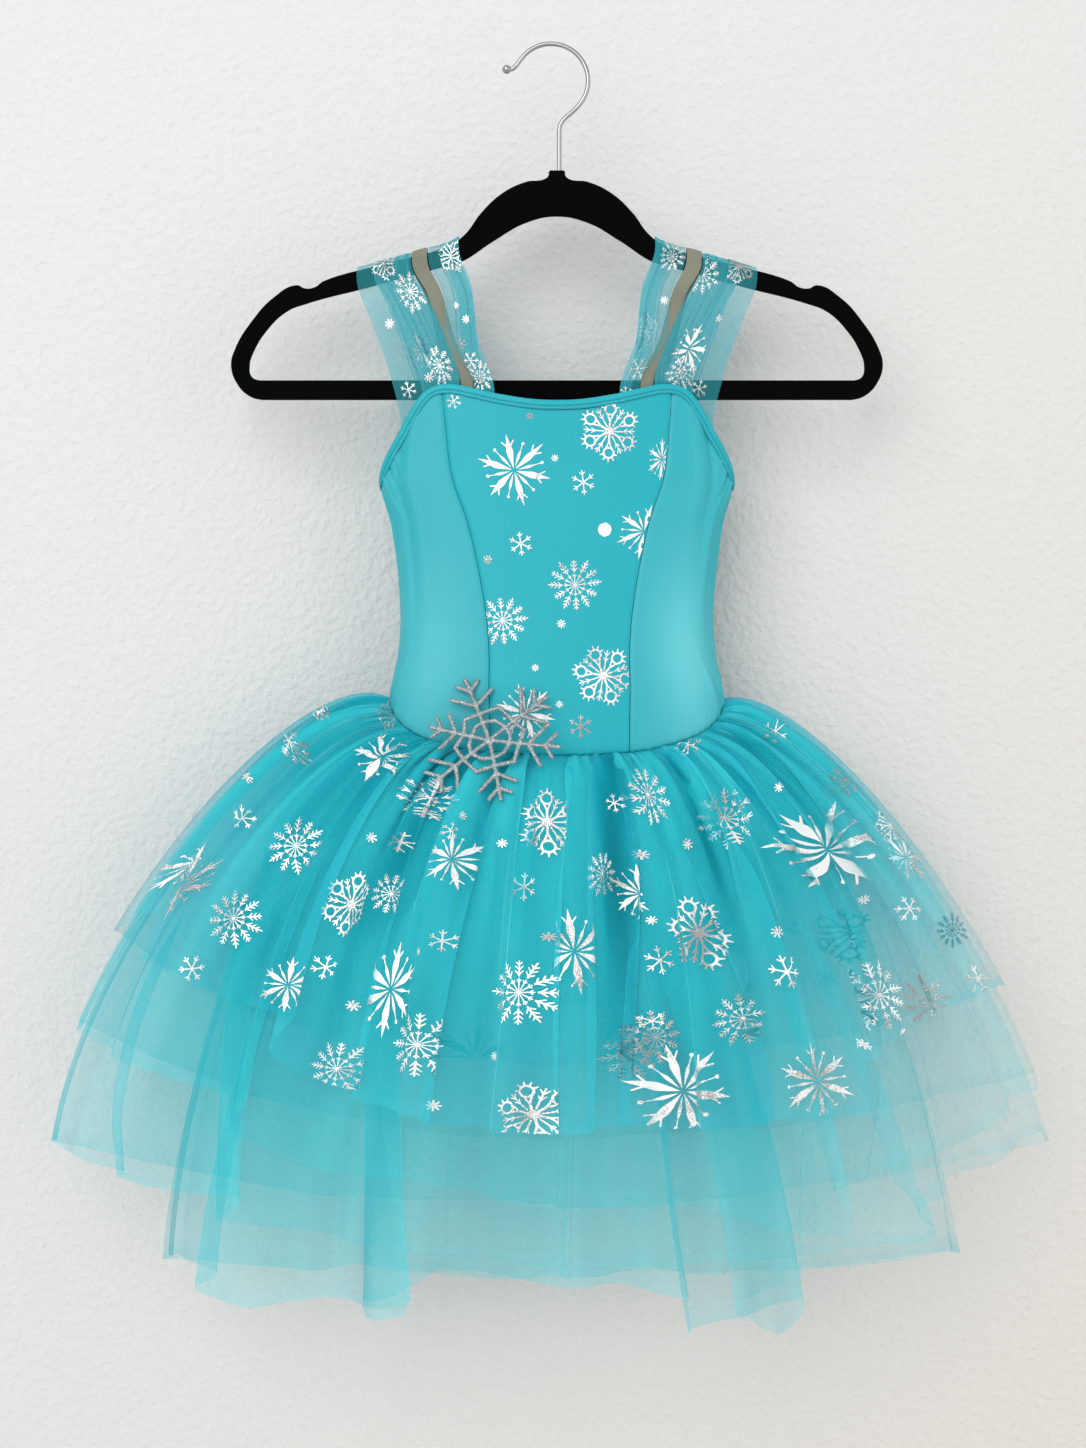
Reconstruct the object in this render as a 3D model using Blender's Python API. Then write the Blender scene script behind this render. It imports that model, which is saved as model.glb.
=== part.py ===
"""Child's costume dress with a gathered tulle skirt, hung on a flocked hanger.

Metres, +Z up. The wearer's front faces -Y. The origin is the underside of the hook's crown, where a rod bears.
Tables and sizes are in millimetres and are turned to metres as the points are made.
"""

import math

import bpy
from mathutils import Matrix, Vector

MM = 0.001

# The hanger and the dress share one centre line, a little to the side of the hook's crown
CENTRE_X = 4.0
SEAM_GAP = 0.4
WAIST_GAP = 0.7
CLOTH = 1.0
SPANDEX = 1.2

# Hook: a wire bent round a circle, ending in a ball
WIRE_R = 1.6
HOOK_R = 25.3
HOOK_BALL_R = 3.1
HOOK_STEM_X = 5.6
HOOK_STEM_TOP = 58.0
COLLAR_TOP = 85.2

# Hanger: a flat flocked moulding, one closed loop with an arched neck and a trouser bar
HANGER_THICK = 5.5
HANGER_EDGE = 0.8

# Columns: across from the centre line, drop below the origin. Top edge, from the collar to the bar's underside
HANGER_OUTER = (
    (5.6, 85.2), (6.4, 90.2), (21.0, 93.0), (37.6, 101.0), (52.0, 114.5), (62.5, 128.5), (72.0, 135.6),
    (116.0, 148.4), (160.0, 161.2), (165.0, 164.8), (172.0, 165.8), (177.5, 163.6), (193.5, 172.0),
    (209.0, 189.0), (219.5, 206.3), (222.6, 218.0), (218.6, 230.8), (210.5, 239.0), (201.0, 241.8),
)
# Columns as above. The window's edge, from under the arch to the bar's top
HANGER_INNER = (
    (0.0, 116.3), (21.5, 120.8), (43.0, 133.0), (66.0, 147.6), (130.0, 165.2), (171.0, 176.0), (184.5, 181.3),
    (198.0, 194.0), (207.6, 209.6), (210.0, 218.0), (208.5, 226.0), (203.0, 228.6),
)
HANGER_STRAIGHT_OVER = 60.0

# Bodice sections, top to bottom. Columns: drop, half width, front depth, back depth
BODICE_SECTIONS = (
    (225.0, 111.0, 19.0, 17.0),
    (262.0, 116.5, 22.0, 19.0),
    (297.0, 121.0, 25.0, 21.0),
    (330.0, 112.5, 28.0, 22.0),
    (385.0, 107.0, 32.0, 23.0),
    (415.0, 108.5, 35.0, 24.0),
    (442.0, 114.0, 38.0, 25.0),
    (500.0, 117.0, 40.0, 26.0),
)
SECTION_POWER = 2.6

# Top edge of the bodice. Columns: turn from the front centre in degrees, drop
TOP_EDGE = (
    (0.0, 242.1), (14.4, 239.3), (23.2, 236.6), (33.6, 233.3), (43.0, 234.4), (50.3, 240.0), (57.6, 253.0),
    (64.0, 266.0), (72.6, 279.0), (81.0, 290.0), (90.0, 297.0), (99.0, 291.0), (109.0, 278.0), (120.0, 262.0),
    (130.0, 250.0), (139.0, 245.5), (150.0, 248.0), (165.0, 254.0), (180.0, 256.0),
)
BAND_DEEP = 6.8
BAND_THICK = 2.4

# Waist seam: high at the sides, dipping to a rounded point at the front
WAIST_SIDE = 445.0
WAIST_FRONT_DIP = 39.0
WAIST_BACK_DIP = 9.0

# Princess seams, in degrees from the front centre
SEAM_TOP = 41.0
SEAM_WAIST = {"right": 18.6, "left": 16.8}
SEAM_SWEEP = 1.8

# Panels in order round the body. Columns: name, kind, points across, finish
PANELS = (
    ("bodice_front_centre", "centre", 13, "foil_printed_spandex"),
    ("bodice_front_right", "right", 10, "plain_spandex"),
    ("bodice_back", "back", 19, "plain_spandex"),
    ("bodice_front_left", "left", 10, "plain_spandex"),
)
PANEL_ROWS = 9

# Straps, each lying over a hanger arm. Columns: name, set back behind the other straps in the free run, then the
# edges nearest and farthest from the centre line: at the neckline, a third up, two thirds up and over the arm
STRAPS = (
    ("strap_tulle_inner", 0.0, (42.5, 56.5), (53.5, 74.2), (58.5, 78.6), (67.0, 87.8)),
    ("strap_elastic", 1.5, (57.0, 66.0), (69.5, 79.5), (79.6, 89.0), (88.4, 98.6)),
    ("strap_tulle_outer", 0.0, (66.6, 103.5), (74.9, 113.5), (89.8, 127.5), (99.2, 136.5)),
)
STRAP_LIFT = 0.4
STRAP_THICK = 1.0
STRAP_TUCK = 9.0
# Columns: across from the centre line, drop of the hanger arm's crest where the straps lie
ARM_CREST = (
    (50.0, 112.0), (60.0, 125.8), (67.0, 131.4), (73.0, 134.9), (81.0, 137.5), (99.0, 142.5), (118.0, 147.7),
    (137.0, 153.1), (156.0, 158.6), (175.0, 164.0),
)

# How the skirt falls from the waist to the lower edge, by direction. Columns: reach from the centre line, drop,
# share of the way out and rise of the first pull, shares of the way out and down of the second pull
SKIRT_FALL = {
    "front": (132.0, 836.0, 0.25, 3.0, 0.85, 0.35),
    "back": (42.0, 815.0, 0.40, -26.0, 0.90, 0.34),
    "right": (350.0, 750.0, 0.24, 3.0, 0.80, 0.47),
    "left": (359.0, 750.0, 0.28, 21.0, 0.91, 0.55),
}
PLAN_POWER = 2.1
WAIST_TUCK = 1.0

# Skirt layers, outermost first. Columns: name, finish, drop of the hem at the front, back, right and left, share
# of the narrow fall that the layer takes, way down at which its own folds start
SKIRT_LAYERS = (
    ("overskirt_printed", "printed_tulle", 722.0, 700.0, 642.0, 606.0, 0.0, 0.4),
    ("tulle_middle", "plain_tulle", 768.0, 750.0, 700.0, 664.0, 0.0, 0.78),
    ("tulle_wide", "plain_tulle", 818.0, 796.0, 744.0, 744.0, 0.0, 0.88),
    ("tulle_long", "plain_tulle", 846.0, 842.0, 818.0, 824.0, 1.0, 0.55),
)
# The narrow fall draws the lower edge in and down. Columns: direction, in, down
NARROW = {"front": (26.0, 26.0), "back": (6.0, 30.0), "right": (56.0, 78.0), "left": (72.0, 78.0)}
# Down to this way every layer takes the wide fall, more and more of the narrow one
NARROW_BY = 0.5
LAYER_STEP = 1.8
LAYER_SPREAD = 6.0
ROWS = (0.0, 0.06, 0.15, 0.33, 0.55)
AROUND = 88
# The layers are stacked at the seam square to the fall at this way down it
SEAM_LEAN = 0.1

# Gathers at the waist: each takes four points round, and all layers share them so that they nest
GATHER_DEEP = 2.2
GATHER_PEAK = 0.13
GATHER_WAVE = (0.0, 1.0, 0.0, -1.0)

# Folds. Columns: side, across at the lower edge, half width, out, lean sideways, extra length. Those of "skirt" run
# through every layer, and the others show below the layer that covers them
FOLDS = {
    "skirt": (
        ("front", -262.0, 30.0, 8.0, 0.0, -12.0), ("front", -200.0, 34.0, -7.0, 0.0, -26.0),
        ("front", -130.0, 34.0, 9.0, -5.0, 2.0), ("front", -56.0, 26.0, -8.0, 0.0, -3.0),
        ("front", 4.0, 26.0, 9.0, 5.0, 5.0), ("front", 50.0, 20.0, -13.0, 0.0, -5.0),
        ("front", 116.0, 36.0, 10.0, 6.0, 5.0), ("front", 196.0, 34.0, -8.0, 0.0, 26.0),
        ("front", 262.0, 32.0, 8.0, 0.0, 22.0), ("back", 230.0, 36.0, 6.0, 0.0, 3.0),
        ("back", 120.0, 36.0, -6.0, 0.0, 0.0), ("back", 5.0, 36.0, 6.0, 0.0, 4.0),
        ("back", -110.0, 36.0, -6.0, 0.0, 0.0), ("back", -225.0, 36.0, 6.0, 0.0, 3.0),
    ),
    "overskirt_printed": (
        ("front", -80.0, 22.0, 4.0, 0.0, 4.0), ("front", 80.0, 22.0, 4.0, 0.0, -4.0),
        ("front", 150.0, 22.0, -3.0, 0.0, 5.0),
    ),
    "tulle_middle": (
        ("front", -290.0, 26.0, 5.0, 0.0, 10.0), ("front", -235.0, 24.0, -2.5, 0.0, 6.0),
        ("front", -160.0, 30.0, 6.0, 0.0, -6.0), ("front", -88.0, 24.0, -2.5, 0.0, -14.0),
        ("front", -20.0, 26.0, 5.0, 4.0, 0.0), ("front", 84.0, 26.0, -2.5, 0.0, 2.0),
        ("front", 160.0, 24.0, 6.0, 5.0, 14.0), ("front", 224.0, 24.0, -2.5, 0.0, -8.0), ("back", 170.0, 34.0, 3.0, 0.0, 4.0),
        ("back", 60.0, 34.0, -2.0, 0.0, 0.0), ("back", -60.0, 34.0, 3.0, 0.0, 4.0),
        ("back", -170.0, 34.0, -2.0, 0.0, 0.0),
    ),
    "tulle_wide": (
        ("front", -300.0, 24.0, -7.0, 0.0, -4.0), ("front", -240.0, 26.0, 6.0, 0.0, -6.0),
        ("front", -160.0, 24.0, -9.0, 0.0, 4.0), ("front", -94.0, 22.0, 6.0, -5.0, 6.0),
        ("front", -26.0, 20.0, -8.0, 0.0, -6.0), ("front", 76.0, 22.0, 6.0, 5.0, 0.0),
        ("front", 150.0, 26.0, -8.0, 0.0, -26.0), ("front", 222.0, 26.0, 6.0, 5.0, -30.0),
        ("front", 290.0, 26.0, -6.0, 0.0, -22.0), ("back", 180.0, 30.0, -5.0, 0.0, -3.0),
        ("back", 60.0, 30.0, 3.0, 0.0, 4.0), ("back", -50.0, 30.0, -5.0, 0.0, -3.0),
        ("back", -170.0, 30.0, 3.0, 0.0, 4.0),
    ),
    "tulle_long": (
        ("front", -262.0, 26.0, 8.0, -4.0, 28.0), ("front", -200.0, 24.0, -9.0, 0.0, 22.0),
        ("front", -136.0, 24.0, 10.0, -5.0, 4.0), ("front", -74.0, 20.0, -10.0, 0.0, -16.0),
        ("front", -8.0, 18.0, 6.0, 0.0, 8.0), ("front", 70.0, 20.0, 8.0, 4.0, 4.0),
        ("front", 134.0, 24.0, 8.0, 5.0, 14.0), ("front", 200.0, 24.0, -8.0, 0.0, -20.0),
        ("front", 262.0, 24.0, 7.0, 4.0, -14.0),
        ("back", 190.0, 30.0, 4.0, 0.0, 4.0), ("back", 70.0, 30.0, -4.0, 0.0, -4.0),
        ("back", -50.0, 30.0, 4.0, 0.0, 5.0), ("back", -170.0, 30.0, -4.0, 0.0, -4.0),
    ),
}
FOLD_GROWTH = 1.25

# Glittered snowflake ornament, a flat lattice of bars stitched on over the waist seam
FLAKE_X = -41.0
FLAKE_DROP = 474.0
FLAKE_STAND = 52.65
FLAKE_TILT = 21.2
FLAKE_YAW = -5.0
FLAKE_SPIN = -13.0
FLAKE_R = 44.5
FLAKE_BAR = 2.5
FLAKE_THICK = 1.8
# Columns: distance out along the arm, length and angle of the pair of twigs there
FLAKE_TWIGS = ((0.56, 0.38, 56.0), (0.80, 0.22, 52.0))
# Columns: distance out of the ring at an arm and between two arms
FLAKE_RINGS = ((0.30, 0.30), (0.43, 0.51))

# Columns: red, green, blue, roughness, metallic
FINISHES = {
    "foil_printed_spandex": (0.040, 0.445, 0.510, 0.45, 0.0),
    "plain_spandex": (0.090, 0.520, 0.590, 0.38, 0.0),
    "edge_band": (0.060, 0.440, 0.510, 0.50, 0.0),
    "printed_tulle": (0.100, 0.560, 0.640, 0.70, 0.0),
    "plain_tulle": (0.130, 0.600, 0.660, 0.70, 0.0),
    "elastic": (0.250, 0.250, 0.190, 0.75, 0.0),
    "glitter": (0.420, 0.420, 0.410, 0.45, 0.8),
    "flock": (0.004, 0.004, 0.004, 0.95, 0.0),
    "chrome": (0.780, 0.790, 0.800, 0.12, 1.0),
}


def clear_scene():
    for thing in list(bpy.data.objects):
        bpy.data.objects.remove(thing, do_unlink=True)


def finish(name):
    material = bpy.data.materials.get(name)
    if material is None:
        red, green, blue, roughness, metallic = FINISHES[name]
        material = bpy.data.materials.new(name)
        material.use_nodes = True
        shader = material.node_tree.nodes["Principled BSDF"]
        shader.inputs["Base Color"].default_value = (red, green, blue, 1.0)
        shader.inputs["Roughness"].default_value = roughness
        shader.inputs["Metallic"].default_value = metallic
    return material


def add_object(name, data, material):
    thing = bpy.data.objects.new(name, data)
    thing.data.materials.append(finish(material))
    bpy.context.scene.collection.objects.link(thing)
    return thing


def add_mesh(name, points, faces, material):
    mesh = bpy.data.meshes.new(name)
    mesh.from_pydata([point * MM for point in points], [], faces)
    mesh.update()
    mesh.shade_smooth()
    mesh.set_sharp_from_angle(angle=math.radians(50.0))
    return add_object(name, mesh, material)


def read_table(rows, at):
    """Smooth value between the rows of a table with two columns, where the rows rise in the first."""
    keys = [row[0] for row in rows]
    values = [row[1] for row in rows]
    if at <= keys[0]:
        return values[0]
    if at >= keys[-1]:
        return values[-1]
    k = max(i for i in range(len(keys) - 1) if keys[i] <= at)

    def slope(i):
        if i == 0 or i == len(keys) - 1:
            return 0.0
        return (values[i + 1] - values[i - 1]) / (keys[i + 1] - keys[i - 1])

    span = keys[k + 1] - keys[k]
    t = (at - keys[k]) / span
    rise = 3 * t * t - 2 * t * t * t
    start = t * t * t - 2 * t * t + t
    end = t * t * t - t * t
    return values[k] * (1 - rise) + values[k + 1] * rise + span * (slope(k) * start + slope(k + 1) * end)


def signed_power(value, power):
    return math.copysign(abs(value) ** power, value)


def round_shares(turn, power):
    """Across and depth shares of a rounded section, with turn 0 at the front and 90 degrees at +X."""
    across = signed_power(math.sin(turn), 2.0 / power)
    ahead = signed_power(math.cos(turn), 2.0 / power)
    return across, ahead


def turn_of(share, power):
    """The turn on the front half at which round_shares gives this share across."""
    return math.asin(signed_power(max(-1.0, min(1.0, share)), power / 2.0))


def bodice_size(drop, column):
    return read_table([(row[0], row[column]) for row in BODICE_SECTIONS], drop)


def bodice_point(turn, drop):
    """Point of the bodice's outer face."""
    across, ahead = round_shares(turn, SECTION_POWER)
    depth = bodice_size(drop, 2 if ahead >= 0 else 3)
    return Vector((CENTRE_X + bodice_size(drop, 1) * across, -depth * ahead, -drop))


def bodice_normal(turn, drop):
    around = bodice_point(turn + 0.01, drop) - bodice_point(turn - 0.01, drop)
    down = bodice_point(turn, drop + 1.0) - bodice_point(turn, drop - 1.0)
    return down.cross(around).normalized()


def folded_turn(turn):
    """Degrees from the front centre, 0 to 180, the same on both sides."""
    degrees = math.degrees(turn) % 360.0
    return min(degrees, 360.0 - degrees)


def top_drop(turn):
    return read_table(TOP_EDGE, folded_turn(turn))


def waist_drop(turn):
    ahead = math.cos(turn)
    dip = WAIST_FRONT_DIP if ahead > 0 else WAIST_BACK_DIP
    return WAIST_SIDE + dip * abs(ahead)


def wall_faces(rows, columns, closed):
    """Faces of a wall whose outer points come first, row by row from the top, and then its inner points."""
    inner = rows * columns
    faces = []

    def outer_at(i, j):
        return i * columns + j % columns

    spans = columns if closed else columns - 1
    for i in range(rows - 1):
        for j in range(spans):
            a, b = outer_at(i, j), outer_at(i + 1, j)
            c, d = outer_at(i + 1, j + 1), outer_at(i, j + 1)
            faces.append((a, b, c, d))
            faces.append((inner + a, inner + d, inner + c, inner + b))
    for j in range(spans):
        a, d = outer_at(0, j), outer_at(0, j + 1)
        faces.append((a, d, inner + d, inner + a))
        a, d = outer_at(rows - 1, j), outer_at(rows - 1, j + 1)
        faces.append((a, inner + a, inner + d, d))
    if not closed:
        for i in range(rows - 1):
            a, b = outer_at(i, 0), outer_at(i + 1, 0)
            faces.append((a, inner + a, inner + b, b))
            a, b = outer_at(i, columns - 1), outer_at(i + 1, columns - 1)
            faces.append((a, b, inner + b, inner + a))
    return faces


def grid_normals(grid, closed):
    rows, columns = len(grid), len(grid[0])
    normals = []
    for i in range(rows):
        for j in range(columns):
            up, low = grid[max(i - 1, 0)][j], grid[min(i + 1, rows - 1)][j]
            if closed:
                left, right = grid[i][j - 1], grid[i][(j + 1) % columns]
            else:
                left, right = grid[i][max(j - 1, 0)], grid[i][min(j + 1, columns - 1)]
            normals.append((low - up).cross(right - left).normalized())
    return normals


def cloth_wall(name, grid, thick, material, closed, normals=None):
    """Solid wall of cloth: grid holds its outer face, row by row from the top, going round from the front to +X."""
    outer = [point for row in grid for point in row]
    if normals is None:
        normals = grid_normals(grid, closed)
    inner = [point - normal * thick for point, normal in zip(outer, normals)]
    faces = wall_faces(len(grid), len(grid[0]), closed)
    return add_mesh(name, outer + inner, faces, material)


def seam_turn(side, share):
    """Turn of a princess seam at this share of the way down the bodice, measured from the front centre."""
    waist = SEAM_WAIST[side]
    return math.radians(waist + (SEAM_TOP - waist) * (1.0 - share) ** SEAM_SWEEP)


def panel_edges(kind, share):
    """Turns of a panel's two edges, this share of the way down."""
    side = math.radians(90.0)
    gap = math.radians(0.14)
    if kind == "centre":
        return -seam_turn("left", share) + gap, seam_turn("right", share) - gap
    if kind == "right":
        return seam_turn("right", share) + gap, side - gap * 4
    if kind == "back":
        return side + gap * 4, 3 * side - gap * 4
    return 3 * side + gap * 4, 4 * side - seam_turn("left", share) - gap


def below_edge(turn, deep):
    """Turn and drop of the place this deep below the top edge, measured square to the edge along the cloth."""
    step = 0.03
    drop = top_drop(turn)
    before = bodice_point(turn - step, drop)
    after = bodice_point(turn + step, drop)
    run = Vector((after.x - before.x, after.y - before.y)).length
    fall = top_drop(turn + step) - top_drop(turn - step)
    length = math.hypot(run, fall)
    return turn - deep * fall / length * (2.0 * step / run), drop + deep * run / length


def make_bodice():
    for name, kind, columns, material in PANELS:
        top_first, top_last = panel_edges(kind, 0.0)
        grid, normals = [], []
        for i in range(PANEL_ROWS):
            share = i / (PANEL_ROWS - 1)
            first, last = panel_edges(kind, share)
            row = []
            for j in range(columns):
                top_turn = top_first + (top_last - top_first) * j / (columns - 1)
                moved, top = below_edge(top_turn, BAND_DEEP + SEAM_GAP)
                turn = first + (last - first) * j / (columns - 1) + (moved - top_turn) * (1.0 - share) ** 2
                drop = top + (waist_drop(turn) - top) * share
                row.append(bodice_point(turn, drop))
                normals.append(bodice_normal(turn, drop))
            grid.append(row)
        cloth_wall(name, grid, SPANDEX, material, False, normals)


def make_edge_band():
    """Turned and stitched edge round the neckline and armholes, standing on the panels' top edges."""
    turns = []
    for _, kind, columns, _ in PANELS:
        first, last = panel_edges(kind, 0.0)
        turns += [first + (last - first) * j / (columns - 1) for j in range(columns - 1)]
    half = BAND_THICK / 2.0
    grid, normals = [], []
    # Columns: share of the band's depth below the top, share of its thickness kept
    for deep, kept in ((0.0, 0.55), (0.12, 1.0), (1.0, 1.0)):
        row = []
        for edge_turn in turns:
            turn, drop = below_edge(edge_turn, BAND_DEEP * deep)
            normal = bodice_normal(turn, drop)
            row.append(bodice_point(turn, drop) + normal * (half * kept - SPANDEX / 2.0))
            normals.append(normal * kept)
        grid.append(row)
    cloth_wall("edge_band", grid, BAND_THICK, "edge_band", True, normals)


def strap_path(set_back, at_neck, third, two_thirds, at_arm):
    """Points of one lengthwise line of a strap's outer face, from inside the front neckline to inside the back."""
    hang = HANGER_THICK / 2.0 + STRAP_LIFT + STRAP_THICK
    over = read_table(ARM_CREST, at_arm) - STRAP_LIFT - STRAP_THICK
    inset = SPANDEX / 2.0 + BAND_THICK / 2.0 + SEAM_GAP + set_back
    points = []
    for front in (True, False):
        turn = turn_of(at_neck / bodice_size(240.0, 1), SECTION_POWER)
        if not front:
            turn = math.pi - turn
        edge = top_drop(turn)
        stations = []
        for drop in (edge + STRAP_TUCK, edge - 1.0):
            stations.append(bodice_point(turn, drop) - bodice_normal(turn, drop) * inset - Vector((CENTRE_X, 0, 0)))
        sign = -1.0 if front else 1.0
        neck_y = abs(stations[-1].y) + set_back
        # Columns: share of the way up to the hanger, share of the way in towards its face, across
        for up, near, across in ((0.35, 0.45, third), (0.7, 0.82, two_thirds)):
            drop = edge + (over - edge) * up
            stations.append(Vector((across, sign * (neck_y + (hang - neck_y) * near - set_back), -drop)))
        # Columns: share of the hang distance out, drop below the crest
        for out, below in ((1.0, 9.0), (1.0, 2.4), (0.62, 0.5)):
            stations.append(Vector((at_arm, sign * hang * out, -(over + below))))
        if front:
            points += stations + [Vector((at_arm, 0.0, -over))]
        else:
            points += stations[::-1]
    return points


def make_straps():
    lines = 4
    for name, set_back, *edges in STRAPS:
        for side_name, side in (("right", 1.0), ("left", -1.0)):
            paths = []
            for k in range(lines):
                share = k / (lines - 1)
                path = strap_path(set_back, *(near + (far - near) * share for near, far in edges))
                paths.append([Vector((CENTRE_X + side * p.x, p.y, p.z)) for p in path])
            if side > 0:
                paths.reverse()
            grid = [[path[i] for path in paths] for i in range(len(paths[0]))]
            material = "elastic" if name == "strap_elastic" else "printed_tulle"
            cloth_wall(f"{name}_{side_name}", grid, STRAP_THICK, material, False)


def blend(turn, values):
    """Value round the body from one for each direction, in the order front, back, right, left."""
    front, back, right, left = values
    ahead, aside = math.cos(turn), math.sin(turn)
    facing = front if ahead >= 0 else back
    beside = right if aside >= 0 else left
    return facing * ahead * ahead + beside * aside * aside


def fall(turn, column):
    return blend(turn, [SKIRT_FALL[way][column] for way in ("front", "back", "right", "left")])


def lower_edge(turn, narrow):
    """Point of the skirt's lower edge before its folds."""
    across, ahead = round_shares(turn, PLAN_POWER)
    wide = SKIRT_FALL["right" if across >= 0 else "left"][0] - narrow * NARROW["right" if across >= 0 else "left"][0]
    deep = SKIRT_FALL["front" if ahead >= 0 else "back"][0] - narrow * NARROW["front" if ahead >= 0 else "back"][0]
    down = fall(turn, 1) + narrow * blend(turn, [NARROW[way][1] for way in ("front", "back", "right", "left")])
    return Vector((CENTRE_X + wide * across, -deep * ahead, -down))


def fall_point(turn, way, narrow):
    """Point of the smooth fall at this share of the way from the waist seam to the lower edge."""
    narrow *= min(1.0, way / NARROW_BY)
    waist = waist_drop(turn)
    normal = bodice_normal(turn, waist)
    flat = Vector((normal.x, normal.y, 0.0)).normalized()
    start = bodice_point(turn, waist) - flat * WAIST_TUCK - Vector((0.0, 0.0, WAIST_GAP))
    end = lower_edge(turn, narrow)
    level = Vector((end.x - start.x, end.y - start.y, 0.0))
    first = start + level * fall(turn, 2) + Vector((0.0, 0.0, fall(turn, 3)))
    second = start + level * fall(turn, 4) + Vector((0.0, 0.0, (end.z - start.z) * fall(turn, 5)))
    left = 1.0 - way
    return start * left ** 3 + first * 3 * left * left * way + second * 3 * left * way * way + end * way ** 3


def fall_normal(turn, way, narrow):
    step = 0.01
    near, far = max(way - step, 0.0), way + step
    down = fall_point(turn, far, narrow) - fall_point(turn, near, narrow)
    around = fall_point(turn + step, way, narrow) - fall_point(turn - step, way, narrow)
    return down.cross(around).normalized()


def way_to(turn, drop, narrow):
    """Way at which the smooth fall has come down to this drop."""
    low, high = 0.2, 1.25
    for _ in range(24):
        middle = (low + high) / 2.0
        if -fall_point(turn, middle, narrow).z < drop:
            low = middle
        else:
            high = middle
    return low


def even_turns(count):
    """Turns that lie evenly along the lower edge, starting at the front centre."""
    fine = 1440
    points = [lower_edge(2.0 * math.pi * k / fine, 0.0) for k in range(fine + 1)]
    along = [0.0]
    for a, b in zip(points, points[1:]):
        along.append(along[-1] + (b - a).length)
    turns, k = [], 0
    for n in range(count):
        target = along[-1] * n / count
        while along[k + 1] < target:
            k += 1
        share = (target - along[k]) / (along[k + 1] - along[k])
        turns.append(2.0 * math.pi * (k + share) / fine)
    return turns


def fold_shift(rows, turn):
    """Move of the lower edge by these folds: out, sideways and down."""
    here = lower_edge(turn, 0.0)
    run = lower_edge(turn + 0.004, 0.0) - lower_edge(turn - 0.004, 0.0)
    sideways = Vector((run.x, run.y, 0.0)).normalized()
    outwards = Vector((sideways.y, -sideways.x, 0.0))
    shift = Vector((0.0, 0.0, 0.0))
    for side, across, half, out, lean, extra in rows:
        at = turn_of(across / SKIRT_FALL["right" if across >= 0 else "left"][0], PLAN_POWER)
        if side == "back":
            at = math.pi - at
        away = lower_edge(at, 0.0) - here
        weight = math.exp(-((Vector((away.x, away.y)).length / half) ** 2))
        shift += (outwards * out + sideways * lean - Vector((0.0, 0.0, extra))) * weight
    return shift


def gather(way, turn, column):
    """Depth of the waist gathers."""
    swell = way / GATHER_PEAK * math.exp(1.0 - way / GATHER_PEAK)
    uneven = 0.7 + 0.2 * math.cos(turn) + 0.15 * math.sin(5.0 * turn + 1.0)
    return GATHER_DEEP * swell * uneven * GATHER_WAVE[column % len(GATHER_WAVE)]


def make_skirt():
    turns = even_turns(AROUND)
    top_layer_ends = []
    for index, (name, finish_name, front, back, right, left, narrow, own_from) in enumerate(SKIRT_LAYERS):
        grid = []
        for column, turn in enumerate(turns):
            end = way_to(turn, blend(turn, (front, back, right, left)), narrow)
            ways = ROWS + (end,)
            if index == 0:
                top_layer_ends.append(end)
            elif narrow == 0.0:
                # A row where the outermost layer ends keeps this one behind its hem
                ways = ROWS + (top_layer_ends[column], end)
            through = fold_shift(FOLDS["skirt"], turn)
            own = fold_shift(FOLDS[name], turn)
            points = []
            for way in ways:
                inward = index * (LAYER_STEP + LAYER_SPREAD * way ** 1.2)
                point = fall_point(turn, way, narrow)
                point += fall_normal(turn, max(way, SEAM_LEAN), narrow) * (gather(way, turn, column) - inward)
                grown = min(1.0, max(0.0, (way - own_from) / (end - own_from)))
                points.append(point + through * way ** FOLD_GROWTH + own * grown * grown * (3.0 - 2.0 * grown))
            grid.append(points)
        cloth_wall(name, [list(row) for row in zip(*grid)], CLOTH, finish_name, True)


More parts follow.
